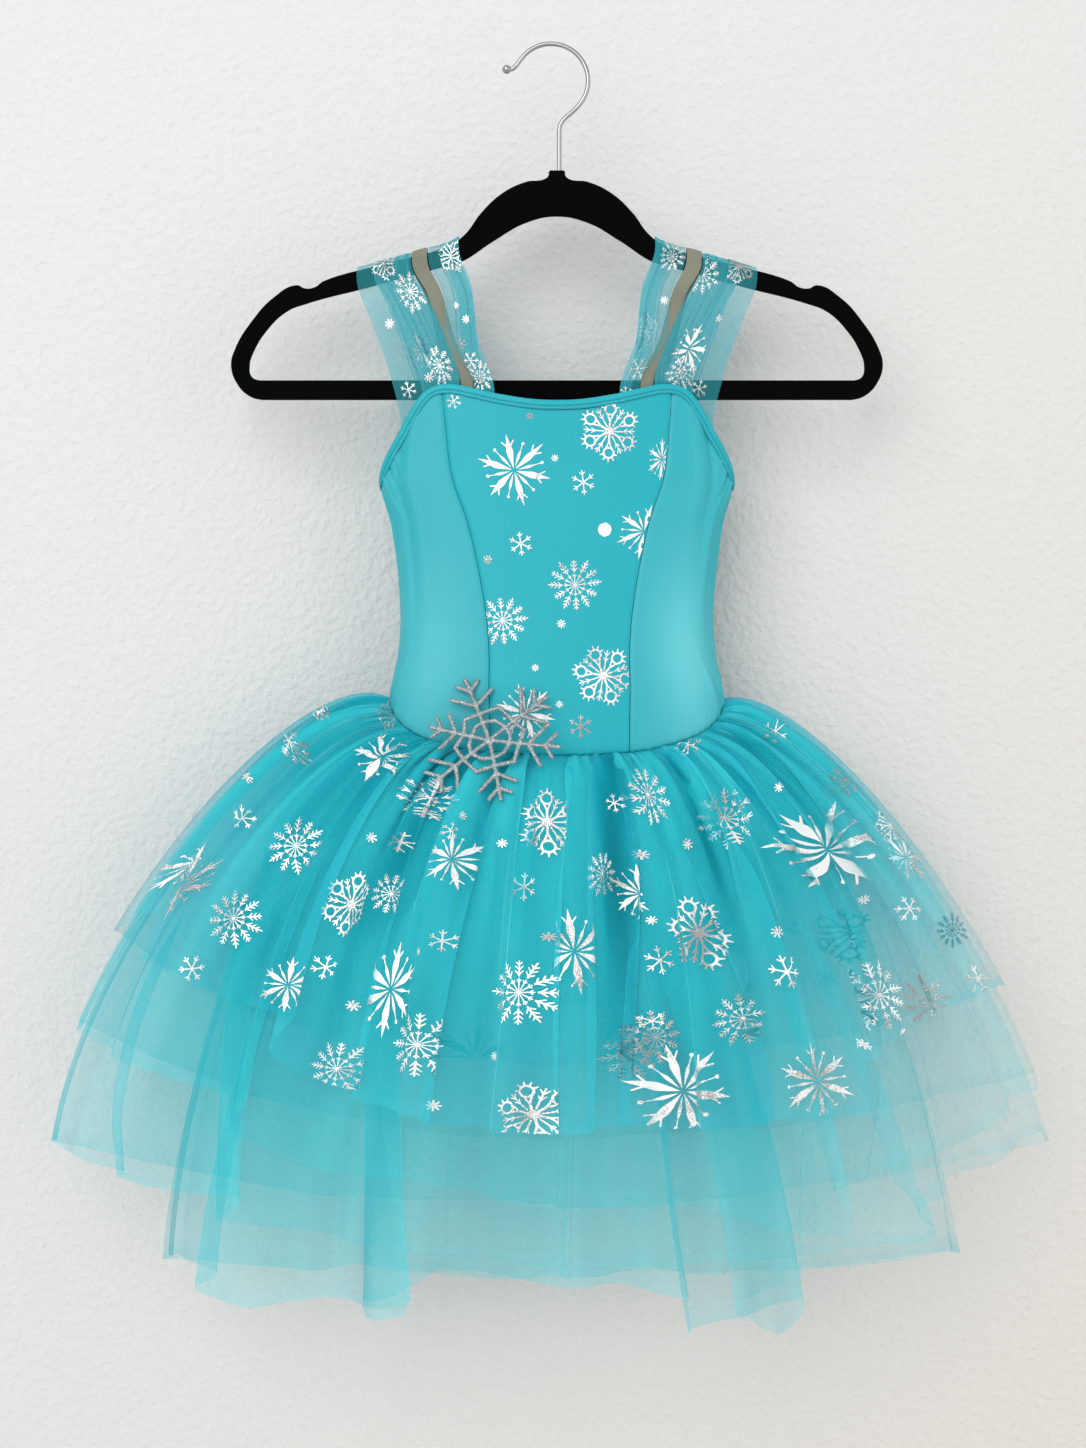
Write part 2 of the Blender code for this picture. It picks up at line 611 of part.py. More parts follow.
def make_flake():
    """Ornament: six arms with twigs and two rings, each a flat bar, joined into one lattice."""
    bars = []
    for k in range(6):
        arm = math.radians(60.0 * k)
        tip = Vector((math.cos(arm), math.sin(arm))) * FLAKE_R
        bars.append((Vector((0.0, 0.0)), tip))
        for out, length, angle in FLAKE_TWIGS:
            root = tip * out
            for side in (1.0, -1.0):
                twig = arm + side * math.radians(angle)
                bars.append((root, root + Vector((math.cos(twig), math.sin(twig))) * FLAKE_R * length))
        for at_arm, between in FLAKE_RINGS:
            middle_turn = arm + math.radians(30.0)
            middle = Vector((math.cos(middle_turn), math.sin(middle_turn))) * FLAKE_R * between
            next_turn = arm + math.radians(60.0)
            bars.append((tip * at_arm, middle))
            bars.append((middle, Vector((math.cos(next_turn), math.sin(next_turn))) * FLAKE_R * at_arm))
    place = (
        Matrix.Translation(Vector((FLAKE_X, -FLAKE_STAND, -FLAKE_DROP)) * MM)
        @ Matrix.Rotation(math.radians(FLAKE_YAW), 4, "Z")
        @ Matrix.Rotation(math.radians(90.0 - FLAKE_TILT), 4, "X")
        @ Matrix.Rotation(math.radians(FLAKE_SPIN), 4, "Z")
    )
    pieces = bpy.data.collections.new("flake_bars")
    for n, (a, b) in enumerate(bars):
        along = (b - a).normalized()
        aside = Vector((-along.y, along.x)) * FLAKE_BAR / 2.0
        # Each bar is a hair thinner than the last, so that no two faces lie in one plane
        half = FLAKE_THICK / 2.0 - 0.002 * n
        end = b + along * FLAKE_BAR * 0.35
        start = a - along * FLAKE_BAR * 0.35
        flat = [start - aside, end - aside, end + aside, start + aside]
        points = [Vector((p.x, p.y, z)) for z in (-half, half) for p in flat]
        faces = [(3, 2, 1, 0), (4, 5, 6, 7), (0, 1, 5, 4), (1, 2, 6, 5), (2, 3, 7, 6), (3, 0, 4, 7)]
        bar = add_mesh(f"flake_bar_{n}", points, faces, "glitter")
        bar.hide_render = True
        bar.display_type = "WIRE"
        bar.matrix_world = place
        bpy.context.scene.collection.objects.unlink(bar)
        pieces.objects.link(bar)
    bpy.context.scene.collection.children.link(pieces)
    heart = 8
    ring = [Vector((math.cos(2 * math.pi * k / heart), math.sin(2 * math.pi * k / heart))) for k in range(heart)]
    half = FLAKE_THICK / 2.0 + 0.2
    points = [Vector((p.x * FLAKE_BAR, p.y * FLAKE_BAR, z)) for z in (-half, half) for p in ring]
    faces = [tuple(range(heart - 1, -1, -1)), tuple(range(heart, 2 * heart))]
    faces += [(k, (k + 1) % heart, heart + (k + 1) % heart, heart + k) for k in range(heart)]
    flake = add_mesh("snowflake_ornament", points, faces, "glitter")
    flake.matrix_world = place
    union = flake.modifiers.new("bars", "BOOLEAN")
    union.operation = "UNION"
    union.operand_type = "COLLECTION"
    union.collection = pieces
    union.solver = "EXACT"


def add_outline(curve, points, clockwise):
    """Adds one closed spline through half an outline and its mirror image."""
    half = [Vector((x, -drop)) for x, drop in points]
    mirrored = [Vector((-p.x, p.y)) for p in reversed(half) if abs(p.x) > 0.01]
    loop = half + mirrored
    if not clockwise:
        loop.reverse()
    spline = curve.splines.new("BEZIER")
    spline.bezier_points.add(len(loop) - 1)
    for node, point in zip(spline.bezier_points, loop):
        node.co = (point.x * MM, point.y * MM, 0.0)
        node.handle_left_type = "AUTO"
        node.handle_right_type = "AUTO"
    spline.use_cyclic_u = True
    for k, node in enumerate(spline.bezier_points):
        after = spline.bezier_points[(k + 1) % len(loop)]
        across_collar = abs(node.co.x + after.co.x) < 0.1 * MM and abs(node.co.x) < 7.0 * MM
        if (after.co - node.co).length > HANGER_STRAIGHT_OVER * MM or across_collar:
            node.handle_right_type = "VECTOR"
            after.handle_left_type = "VECTOR"


def make_hanger():
    curve = bpy.data.curves.new("hanger_body", "CURVE")
    curve.dimensions = "2D"
    curve.fill_mode = "BOTH"
    curve.extrude = (HANGER_THICK / 2.0 - HANGER_EDGE) * MM
    curve.bevel_depth = HANGER_EDGE * MM
    curve.bevel_resolution = 0
    curve.offset = -HANGER_EDGE * MM
    curve.resolution_u = 2
    add_outline(curve, HANGER_OUTER, True)
    add_outline(curve, HANGER_INNER, False)
    hanger = add_object("hanger_body", curve, "flock")
    hanger.location = (CENTRE_X * MM, 0.0, 0.0)
    hanger.rotation_euler = (math.radians(90.0), 0.0, 0.0)


def hook_route():
    """Centre line of the hook from its ball to the collar, with the wire's radius as a share at each point."""
    centre = Vector((0.0, -(HOOK_R - WIRE_R)))
    route = []
    # The ball is turned on the wire's end: columns are distance along it and radius
    ball_steps = 6
    start_turn = math.radians(139.0)
    rim = centre + Vector((math.cos(start_turn), math.sin(start_turn))) * HOOK_R
    tip = rim + Vector((-9.6, -7.0))
    for k in range(ball_steps):
        swing = math.pi * (0.06 + 0.88 * k / ball_steps)
        route.append((tip + Vector((-HOOK_BALL_R * math.cos(swing), 0.0)), HOOK_BALL_R * math.sin(swing) / WIRE_R))
    route.append((tip + Vector((HOOK_BALL_R + 0.6, 0.3)), 1.0))
    route.append((tip + Vector((HOOK_BALL_R + 3.2, 1.6)), 1.0))
    arc_steps = 20
    end_turn = math.radians(-36.0)
    for k in range(1, arc_steps + 1):
        turn = start_turn + (end_turn - start_turn) * k / arc_steps
        route.append((centre + Vector((math.cos(turn), math.sin(turn))) * HOOK_R, 1.0))
    stem_top = Vector((HOOK_STEM_X, -HOOK_STEM_TOP))
    last = route[-1][0]
    # The wire leaves the circle on its tangent and bends down into the stem
    out = Vector((math.sin(end_turn), -math.cos(end_turn)))
    steps = 7
    for k in range(1, steps + 1):
        t = k / steps
        pull = last + out * 11.0
        rise = stem_top + Vector((0.0, 9.0))
        point = last * (1 - t) ** 3 + pull * 3 * (1 - t) ** 2 * t + rise * 3 * (1 - t) * t * t + stem_top * t ** 3
        route.append((point, 1.0))
    route.append((Vector((HOOK_STEM_X, -(COLLAR_TOP - 0.3))), 1.0))
    return route


def make_hook():
    curve = bpy.data.curves.new("hanger_hook", "CURVE")
    curve.dimensions = "3D"
    curve.bevel_depth = WIRE_R * MM
    curve.bevel_resolution = 2
    curve.use_fill_caps = True
    route = hook_route()
    spline = curve.splines.new("POLY")
    spline.points.add(len(route) - 1)
    for node, (point, share) in zip(spline.points, route):
        node.co = (point.x * MM, 0.0, point.y * MM, 1.0)
        node.radius = share
    add_object("hanger_hook", curve, "chrome")


def main():
    clear_scene()
    make_hook()
    make_hanger()
    make_bodice()
    make_edge_band()
    make_straps()
    make_skirt()
    make_flake()


main()
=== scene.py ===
"""Child's costume dress with a gathered tulle skirt, hung on a flocked hanger in front of a plain wall.

Metres, +Z up. The wearer's front faces -Y, and the origin is the underside of the hook's crown.
Tables and sizes are in millimetres, and are turned to metres as each mesh is made.
"""

import math
import random

import bpy
import numpy as np
from mathutils import Matrix, Vector


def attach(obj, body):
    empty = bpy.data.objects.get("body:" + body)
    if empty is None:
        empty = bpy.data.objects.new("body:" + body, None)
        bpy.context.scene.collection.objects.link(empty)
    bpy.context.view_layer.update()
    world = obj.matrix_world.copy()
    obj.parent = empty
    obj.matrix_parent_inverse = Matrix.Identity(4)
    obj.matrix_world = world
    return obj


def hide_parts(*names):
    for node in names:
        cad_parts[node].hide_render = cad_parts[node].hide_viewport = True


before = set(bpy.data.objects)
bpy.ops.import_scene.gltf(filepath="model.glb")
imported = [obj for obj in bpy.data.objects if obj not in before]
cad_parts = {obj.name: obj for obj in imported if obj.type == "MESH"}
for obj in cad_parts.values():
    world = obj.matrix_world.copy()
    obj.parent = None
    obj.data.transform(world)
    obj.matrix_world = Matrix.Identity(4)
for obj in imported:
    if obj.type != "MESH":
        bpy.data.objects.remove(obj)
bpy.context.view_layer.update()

# Hook
# Bright plated steel wire, bent round a circle and turned to a ball at its end. Its stem is moulded into the
# hanger's collar.

MM = 0.001
HOOK_WIRE_R = 1.6
HOOK_R = 25.3
HOOK_BALL_R = 3.1
HOOK_STEM_X = 5.6
HOOK_STEM_TOP = 58.0
COLLAR_TOP = 85.2
# Turns in degrees round the hook's centre, where its round stretch starts and ends
HOOK_TURNS = (139.0, -36.0)
# From the start of the round stretch to the middle of the ball: across, up
HOOK_TIP = (-11.2, -8.8)
WIRE_SIDES = 24


class Wire:
    """A node's output in a material, so that shader maths reads as plain sums."""

    def __init__(self, tree, socket=None):
        self.tree = tree
        self.socket = socket

    def node(self, kind, settings=None, inputs=None, output=0):
        """Adds any node: its settings first, then the values or links of its sockets."""
        made = self.tree.nodes.new(kind)
        for name, value in (settings or {}).items():
            setattr(made, name, value)
        for name, value in (inputs or {}).items():
            if isinstance(value, Wire):
                self.tree.links.new(value.socket, made.inputs[name])
            else:
                made.inputs[name].default_value = value
        return Wire(self.tree, made.outputs[output])

    def maths(self, operation, first, second):
        return self.node("ShaderNodeMath", {"operation": operation}, {0: first, 1: second})

    def __add__(self, other):
        return self.maths("ADD", self, other)

    def __radd__(self, other):
        return self.maths("ADD", other, self)

    def __sub__(self, other):
        return self.maths("SUBTRACT", self, other)

    def __rsub__(self, other):
        return self.maths("SUBTRACT", other, self)

    def __mul__(self, other):
        return self.maths("MULTIPLY", self, other)

    def __rmul__(self, other):
        return self.maths("MULTIPLY", other, self)

    def __truediv__(self, other):
        return self.maths("DIVIDE", self, other)

    def __rpow__(self, other):
        return self.maths("POWER", other, self)

    def clamped(self):
        return self.node("ShaderNodeClamp", None, {"Value": self})

    def mix(self, colour_a, colour_b):
        """Colour between two, with this value as the share of the second."""
        return self.node("ShaderNodeMix", {"data_type": "RGBA"}, {0: self, 6: colour_a, 7: colour_b}, 2)

    def tint(self, colour):
        """This colour times another."""
        settings = {"data_type": "RGBA", "blend_type": "MULTIPLY"}
        return self.node("ShaderNodeMix", settings, {0: 1.0, 6: self, 7: colour}, 2)

    def noise(self, scale, detail=2.0, stretch=(1.0, 1.0, 1.0)):
        """Cloudy noise in the object's own space, with scale in features a metre."""
        place = self.node("ShaderNodeTexCoord", output=3)
        place = self.node("ShaderNodeMapping", None, {"Vector": place, "Scale": stretch})
        inputs = {"Vector": place, "Scale": scale, "Detail": detail}
        return self.node("ShaderNodeTexNoise", None, inputs)

    def kept(self, name):
        """A value kept at the points of the piece."""
        return self.node("ShaderNodeAttribute", {"attribute_name": name}, output=2)

    def bump(self, strength, distance):
        return self.node("ShaderNodeBump", None, {"Strength": strength, "Distance": distance, "Height": self})


def new_finish(name, **values):
    """A material with values set on its shader's own sockets, and a wire to add nodes from."""
    finish = bpy.data.materials.new(name)
    finish.use_nodes = True
    shader = finish.node_tree.nodes["Principled BSDF"]
    for socket, value in values.items():
        shader.inputs[socket.replace("_", " ")].default_value = value
    return finish, Wire(finish.node_tree)


def feed(finish, **wires):
    shader = finish.node_tree.nodes["Principled BSDF"]
    for socket, wire in wires.items():
        finish.node_tree.links.new(wire.socket, shader.inputs[socket.replace("_", " ")])


def add_piece(name, points, faces, finish, stands_for=(), sharp=180.0):
    """Makes one mesh piece of the dress or hanger, and gives it its place in the frame."""
    mesh = bpy.data.meshes.new(name)
    mesh.from_pydata(np.asarray(points, float) * MM, [], faces)
    mesh.update()
    mesh.shade_smooth()
    if sharp < 180.0:
        mesh.set_sharp_from_angle(angle=math.radians(sharp))
    piece = bpy.data.objects.new(name, mesh)
    mesh.materials.append(finish)
    bpy.context.scene.collection.objects.link(piece)
    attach(piece, "root")
    if stands_for:
        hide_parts(*stands_for)
    return piece


def tube_points(route, radii, sides):
    """Rings of points round a route in the plane of the hanger, y being square to it."""
    route = np.asarray(route, float)
    along = np.gradient(route, axis=0)
    along /= np.linalg.norm(along, axis=1)[:, None]
    aside = np.stack([-along[:, 2], np.zeros(len(route)), along[:, 0]], axis=1)
    turn = np.arange(sides) / sides * 2.0 * math.pi
    depth = np.array([0.0, 1.0, 0.0])
    ring = aside[:, None, :] * np.cos(turn)[None, :, None] + depth * np.sin(turn)[None, :, None]
    return route[:, None, :] + ring * np.asarray(radii)[:, None, None]


def grid_faces(rows, columns, closed):
    """Faces of a grid of points stored row by row, closed round its columns or not."""
    i, j = np.meshgrid(np.arange(rows - 1), np.arange(columns if closed else columns - 1), indexing="ij")
    k = (j + 1) % columns
    a, b, c, d = i * columns + j, (i + 1) * columns + j, (i + 1) * columns + k, i * columns + k
    return np.stack([a, b, c, d], axis=-1).reshape(-1, 4)


def tube_faces(rows, sides):
    """Faces of a tube of rings, with a flat face over each end."""
    ends = [tuple(range(sides))[::-1], tuple(range((rows - 1) * sides, rows * sides))]
    return grid_faces(rows, sides, True).tolist() + ends


chrome, wire = new_finish("chrome_wire", Base_Color=(0.40, 0.41, 0.42, 1.0), Metallic=1.0)
feed(chrome, Roughness=wire.noise(900.0) * 0.06 + 0.10)

hook_centre = np.array([0.0, HOOK_WIRE_R - HOOK_R])
first_turn, last_turn = np.radians(HOOK_TURNS)


def on_hook(turn):
    return hook_centre + np.stack([np.cos(turn), np.sin(turn)], axis=-1) * HOOK_R


def wire_bend(start, pull, rise, end, count):
    """Points of a smooth bend that leaves its start towards pull and comes to its end from rise."""
    t = np.linspace(0.0, 1.0, count + 1)[1:, None]
    return start * (1 - t) ** 3 + pull * 3 * (1 - t) ** 2 * t + rise * 3 * (1 - t) * t * t + end * t ** 3


swing = math.pi * (0.02 + 0.84 * np.linspace(0.0, 1.0, 15))
ball = on_hook(first_turn) + HOOK_TIP - np.stack([np.cos(swing), np.zeros(15)], axis=-1) * HOOK_BALL_R
into_round = on_hook(first_turn) + np.array([-math.sin(first_turn), math.cos(first_turn)]) * 5.0
neck = wire_bend(ball[-1], ball[-1] + (3.0, 0.6), into_round, on_hook(first_turn), 8)
round_part = on_hook(np.linspace(first_turn, last_turn, 61)[1:])
out_of_round = round_part[-1] + np.array([math.sin(last_turn), -math.cos(last_turn)]) * 11.0
stem_top = np.array([HOOK_STEM_X, -HOOK_STEM_TOP])
drop_bend = wire_bend(round_part[-1], out_of_round, stem_top + (0.0, 9.0), stem_top, 24)
stem = np.array([(HOOK_STEM_X, -drop) for drop in (66.0, 76.0, COLLAR_TOP + 2.0)])
route = np.concatenate([ball, neck, round_part, drop_bend, stem])
radii = np.full(len(route), HOOK_WIRE_R)
radii[:len(ball)] = np.maximum(HOOK_BALL_R * np.sin(swing), 0.05)
hook_points = tube_points(np.insert(route, 1, 0.0, axis=1), radii, WIRE_SIDES)
faces = tube_faces(len(route), WIRE_SIDES)
add_piece("hook", hook_points.reshape(-1, 3), faces, chrome, ["hanger_hook"], 60.0)

# Hanger
# One closed loop of moulded plastic with an arched neck, two shoulder notches and a trouser bar. Short black
# flock covers it all over, so that straps don't slip.

# The hanger and the dress hang this far to one side of the hook's crown
CENTRE_X = 4.0
HANGER_THICK = 5.5
HANGER_EDGE = 1.5
# Columns: across from the centre line, drop below the origin. Top edge, from the collar to the bar's
# underside
HANGER_OUTER = (
    (4.6, 85.2), (5.5, 86.4), (5.8, 88.6), (8, 90.9), (21, 93), (37.6, 101), (52, 114.5), (62.5, 128.5),
    (72, 135.6), (116, 148.4), (160, 161.2), (165, 164.8), (172, 165.8), (177.5, 163.6), (193.5, 172),
    (209, 189), (219.5, 206.3), (222.6, 218), (218.6, 230.8), (210.5, 239), (201, 241.8),
)
# Columns as above. The window's edge, from under the arch to the bar's top
HANGER_INNER = (
    (0, 116.3), (21.5, 120.8), (43, 133), (66, 147.6), (130, 165.2), (171, 176), (184.5, 181.3), (198, 194),
    (207.6, 209.6), (210, 218), (208.5, 226), (203, 228.6),
)
# Points of the outline this far apart have a straight stretch between them
HANGER_STRAIGHT_OVER = 60.0
COLLAR_HALF = 7.0

flock, wire = new_finish("black_flock", Roughness=0.92, Specular_IOR_Level=0.05)
nap = wire.noise(2600.0, 3.0)
feed(
    flock,
    Base_Color=nap.mix((0.0008, 0.0008, 0.0010, 1.0), (0.0024, 0.0024, 0.0027, 1.0)),
    Normal=nap.bump(0.35, 0.0004),
)


def add_outline(curve, points, clockwise):
    """Adds one closed spline through half an outline and its mirror image."""
    half = [Vector((x, -drop)) for x, drop in points]
    mirrored = [Vector((-p.x, p.y)) for p in reversed(half) if abs(p.x) > 0.01]
    loop = half + mirrored
    if not clockwise:
        loop.reverse()
    spline = curve.splines.new("BEZIER")
    spline.bezier_points.add(len(loop) - 1)
    for node, point in zip(spline.bezier_points, loop):
        node.co = (point.x * MM, point.y * MM, 0.0)
        node.handle_left_type = node.handle_right_type = "AUTO"
    spline.use_cyclic_u = True
    for k, node in enumerate(spline.bezier_points):
        after = spline.bezier_points[(k + 1) % len(loop)]
        across_collar = abs(node.co.x + after.co.x) < 0.1 * MM and abs(node.co.x) < COLLAR_HALF * MM
        if (after.co - node.co).length > HANGER_STRAIGHT_OVER * MM or across_collar:
            node.handle_right_type = "VECTOR"
            after.handle_left_type = "VECTOR"


def made_shape(pattern):
    """Points and faces of a helper object once its modifiers are worked out. The object is taken away."""
    bpy.context.view_layer.update()
    shaped = bpy.data.meshes.new_from_object(pattern.evaluated_get(bpy.context.evaluated_depsgraph_get()))
    shaped.transform(pattern.matrix_world)
    points, faces = [v.co / MM for v in shaped.vertices], [tuple(p.vertices) for p in shaped.polygons]
    bpy.data.objects.remove(pattern)
    bpy.data.meshes.remove(shaped)
    return points, faces


outline = bpy.data.curves.new("hanger_outline", "CURVE")
outline.dimensions = "2D"
outline.fill_mode = "BOTH"
outline.extrude = (HANGER_THICK / 2.0 - HANGER_EDGE) * MM
outline.bevel_depth = HANGER_EDGE * MM
outline.bevel_resolution = 4
outline.offset = -HANGER_EDGE * MM
outline.resolution_u = 12
add_outline(outline, HANGER_OUTER, True)
add_outline(outline, HANGER_INNER, False)
pattern = bpy.data.objects.new("hanger_outline", outline)
pattern.location = (CENTRE_X * MM, 0.0, 0.0)
pattern.rotation_euler = (math.radians(90.0), 0.0, 0.0)
bpy.context.scene.collection.objects.link(pattern)
points, faces = made_shape(pattern)
add_piece("hanger", points, faces, flock, ["hanger_body"], 40.0)

# Bodice panels
# A printed centre front, two plain side fronts and a plain back, cut from shiny two-way stretch knit. They
# are overlocked together along the princess and side seams, which pull in as fine grooves.

# Columns: drop, half width, front depth, back depth
BODICE_SECTIONS = (
    (225.0, 111.0, 19.0, 17.0),
    (262.0, 116.5, 22.0, 19.0),
    (297.0, 121.0, 25.0, 21.0),
    (330.0, 112.5, 28.0, 22.0),
    (385.0, 107.0, 32.0, 23.0),
    (415.0, 108.5, 35.0, 24.0),
    (442.0, 114.0, 38.0, 25.0),
    (500.0, 117.0, 40.0, 26.0),
)
# 2 makes round sections, and more makes them squarer
SECTION_POWER = 2.6
# Columns: turn from the front centre in degrees, drop
TOP_EDGE = (
    (0.0, 244.5), (14.4, 240.4), (23.2, 236.6), (33.6, 233.3), (43.0, 234.4), (50.3, 240.0), (57.6, 253.0),
    (64.0, 266.0), (72.6, 279.0), (81.0, 290.0), (90.0, 297.0), (99.0, 291.0), (109.0, 278.0), (120.0, 262.0),
    (130.0, 250.0), (139.0, 245.5), (150.0, 248.0), (165.0, 254.0), (180.0, 256.0),
)
BAND_DEEP = 6.8
SEAM_GAP = 0.4
# Drop of the waist seam at the sides, and how much lower it is at the middle of the front and back
WAIST_SIDE = 445.0
WAIST_FRONT_DIP = 39.0
WAIST_BACK_DIP = 9.0
# Turns of the princess seams in degrees at the top edge and at the waist, and how fast they sweep inwards
SEAM_TOP = 38.8
SEAM_WAIST = {"right": 18.6, "left": 16.8}
SEAM_SWEEP = 1.8
# Depth and half width of the groove along a seam
SEAM_DIP = 0.8
SEAM_DIP_WIDE = 1.5
SPANDEX_THICK = 0.8
# Columns: panel, kind, points across, node that it stands for, record's finish
PANELS = (
    ("front_centre_panel", "centre", 120, "bodice_front_centre", "foil_printed_spandex"),
    ("front_right_panel", "right", 90, "bodice_front_right", "plain_spandex"),
    ("back_panel", "back", 120, "bodice_back", "plain_spandex"),
    ("front_left_panel", "left", 90, "bodice_front_left", "plain_spandex"),
)
PANEL_ROWS = 110
# Highlight painted low on each side, where the knit curves towards the light: how much paler each side is
# painted, then the drop, half length and turn in degrees of that place, and its width in square degrees
PAINTED_SIDE_SHEEN = {"left": 0.40, "right": 0.75}
SHEEN_DROP = 418.0
SHEEN_LONG = 62.0
SHEEN_TURN = 48.0
SHEEN_WIDE = 5200.0
# Share by which the points of a panel crowd towards its seams
SEAM_CROWD = 0.48
# Creases pressed in the knit. Columns: turn in degrees, drop, half width, half length, lean (across for
# each mm down), out
BODICE_CREASES = (
    (66, 283, 2.6, 16, -0.9, 0.9), (71, 296, 3, 20, -0.75, -1), (76, 305, 3.4, 22, -0.6, 1),
    (80, 322, 4, 26, -0.35, -0.8), (84, 345, 5, 30, -0.2, 0.6), (79, 395, 5, 34, 0.15, -0.5),
    (84, 433, 3.5, 13, 0.9, -1), (78, 441, 3, 12, 0.8, 0.8), (-64, 279, 2.6, 15, 0.9, 0.9),
    (-68, 290, 3, 18, 0.85, -1), (-73, 300, 3.2, 20, 0.7, 1), (-78, 318, 3.8, 24, 0.4, -0.9),
    (-82, 338, 4.8, 28, 0.25, 0.7), (-80, 388, 5, 34, -0.1, -0.5), (-83, 426, 3.4, 14, -1, -1.1),
    (-77, 436, 3, 12, -0.9, 0.9), (-70, 443, 4, 14, -0.8, -0.5), (8, 262, 16, 24, 0.4, -0.6),
    (-16, 300, 14, 40, 0.1, 0.5), (12, 410, 15, 30, -0.2, -0.5), (-40, 350, 13, 60, 0.1, 0.6),
    (42, 360, 13, 60, -0.1, -0.6), (50, 300, 10, 40, -0.2, 0.5), (112, 300, 4, 24, 0.7, 0.9),
    (-112, 303, 4, 24, -0.7, 0.9), (150, 330, 14, 50, 0.1, -0.7), (-152, 350, 14, 50, -0.1, 0.7),
    (178, 410, 16, 36, 0, -0.6), (120, 420, 6, 22, -0.6, 0.8), (-122, 424, 6, 22, 0.6, -0.8),
    (57, 285, 5, 46, 0.05, -1.5), (49, 290, 6, 60, 0, 1.1), (66, 330, 6, 44, -0.1, 1.2),
    (70, 380, 6, 60, 0.05, -1), (34, 400, 9, 50, 0, 0.8), (-52, 300, 6, 70, 0, 1.1),
    (-60, 330, 5, 70, 0, -1.2), (-68, 380, 7, 60, 0, 1), (-72, 424, 5, 26, -0.5, -1.2),
    (62, 430, 5, 26, 0.5, 1.1), (71, 440, 4, 16, 0.9, -1.3),
)

# Flakes printed on the centre front, some cut by its seams and edge. Columns: kind, across, drop, width,
# height, spin in degrees, dullness
BODICE_FLAKES = (
    ("star", -26, 291, 51, 51, 8, 0), ("rings", 40, 265, 43, 43, 0, 0.1), ("small", 22, 299, 17, 18, 10, 0),
    ("small", -21, 341, 17, 17, 0, 0), ("speck", -43, 351, 6, 6, 0, 0), ("dot", 37, 332, 9, 10, 0, 0),
    ("star", 64, 334, 41, 39, 0, 0), ("fern", 18, 369, 36, 36, 5, 0), ("fern", -34, 394, 34, 34, 0, 0.25),
    ("speck", 7, 395, 6, 6, 0, 0), ("speck", -12, 425, 5, 5, 0, 0), ("rings", 36, 431, 43, 43, 20, 0),
    ("star", -18, 456, 41, 41, 14, 0.3), ("small", 21, 465, 17, 17, 0, 0), ("speck", 5, 450, 5, 5, 0, 0),
    ("speck", 2, 284, 5, 5, 0, 0.4), ("small", -67, 245, 11, 11, 10, 0.2), ("speck", -15, 255, 5, 5, 0, 0.8),
    ("star", 76, 285, 21, 30, 5, 0),
)


def table_value(rows, at, column=1):
    """Smooth value between the rows of a table that rise in the first column."""
    keys = np.array([row[0] for row in rows])
    values = np.array([row[column] for row in rows])
    at = np.clip(np.asarray(at, float), keys[0], keys[-1])
    k = np.clip(np.searchsorted(keys, at, side="right") - 1, 0, len(keys) - 2)
    slopes = np.zeros(len(keys))
    slopes[1:-1] = (values[2:] - values[:-2]) / (keys[2:] - keys[:-2])
    span = keys[k + 1] - keys[k]
    t = (at - keys[k]) / span
    rise = 3 * t * t - 2 * t ** 3
    start, end = t ** 3 - 2 * t * t + t, t ** 3 - t * t
    return values[k] * (1 - rise) + values[k + 1] * rise + span * (slopes[k] * start + slopes[k + 1] * end)


def round_shares(turn, power):
    """Across and depth shares of a rounded section, with turn 0 at the front and 90 degrees at +X."""
    across, ahead = np.sin(turn), np.cos(turn)
    return np.sign(across) * np.abs(across) ** (2.0 / power), np.sign(ahead) * np.abs(ahead) ** (2.0 / power)


def unit(vectors):
    return vectors / np.maximum(np.linalg.norm(vectors, axis=-1, keepdims=True), 1e-9)


def bodice_point(turn, drop):
    turn, drop = np.broadcast_arrays(np.asarray(turn, float), np.asarray(drop, float))
    across, ahead = round_shares(turn, SECTION_POWER)
    depth = np.where(ahead >= 0, table_value(BODICE_SECTIONS, drop, 2), table_value(BODICE_SECTIONS, drop, 3))
    return np.stack([CENTRE_X + table_value(BODICE_SECTIONS, drop) * across, -depth * ahead, -drop], axis=-1)


def bodice_normal(turn, drop):
    around = bodice_point(turn + 0.01, drop) - bodice_point(turn - 0.01, drop)
    down = bodice_point(turn, drop + 1.0) - bodice_point(turn, drop - 1.0)
    return unit(np.cross(down, around))


def top_drop(turn):
    degrees = np.degrees(turn) % 360.0
    return table_value(TOP_EDGE, np.minimum(degrees, 360.0 - degrees))


def waist_drop(turn):
    ahead = np.cos(turn)
    return WAIST_SIDE + np.where(ahead > 0, WAIST_FRONT_DIP, WAIST_BACK_DIP) * np.abs(ahead)


def below_edge(turn, deep):
    """Turn and drop of the place this deep below the top edge, square to the edge along the cloth."""
    step = 0.03
    drop = top_drop(turn)
    here, back = bodice_point(turn + step, drop), bodice_point(turn - step, drop)
    run = np.linalg.norm((here - back)[..., :2], axis=-1)
    down = top_drop(turn + step) - top_drop(turn - step)
    length = np.hypot(run, down)
    return turn - deep * down / length * (2.0 * step / run), drop + deep * run / length


def panel_edges(kind, share):
    """Turns of a panel's two edges, this share of the way down."""
    side, gap = math.radians(90.0), math.radians(0.10)
    seam = {s: np.radians(w + (SEAM_TOP - w) * (1.0 - share) ** SEAM_SWEEP) for s, w in SEAM_WAIST.items()}
    return {
        "centre": (-seam["left"] + gap, seam["right"] - gap),
        "right": (seam["right"] + gap, side - gap),
        "back": (side + gap, 3 * side - gap),
        "left": (3 * side + gap, 4 * side - seam["left"] - gap),
    }[kind]


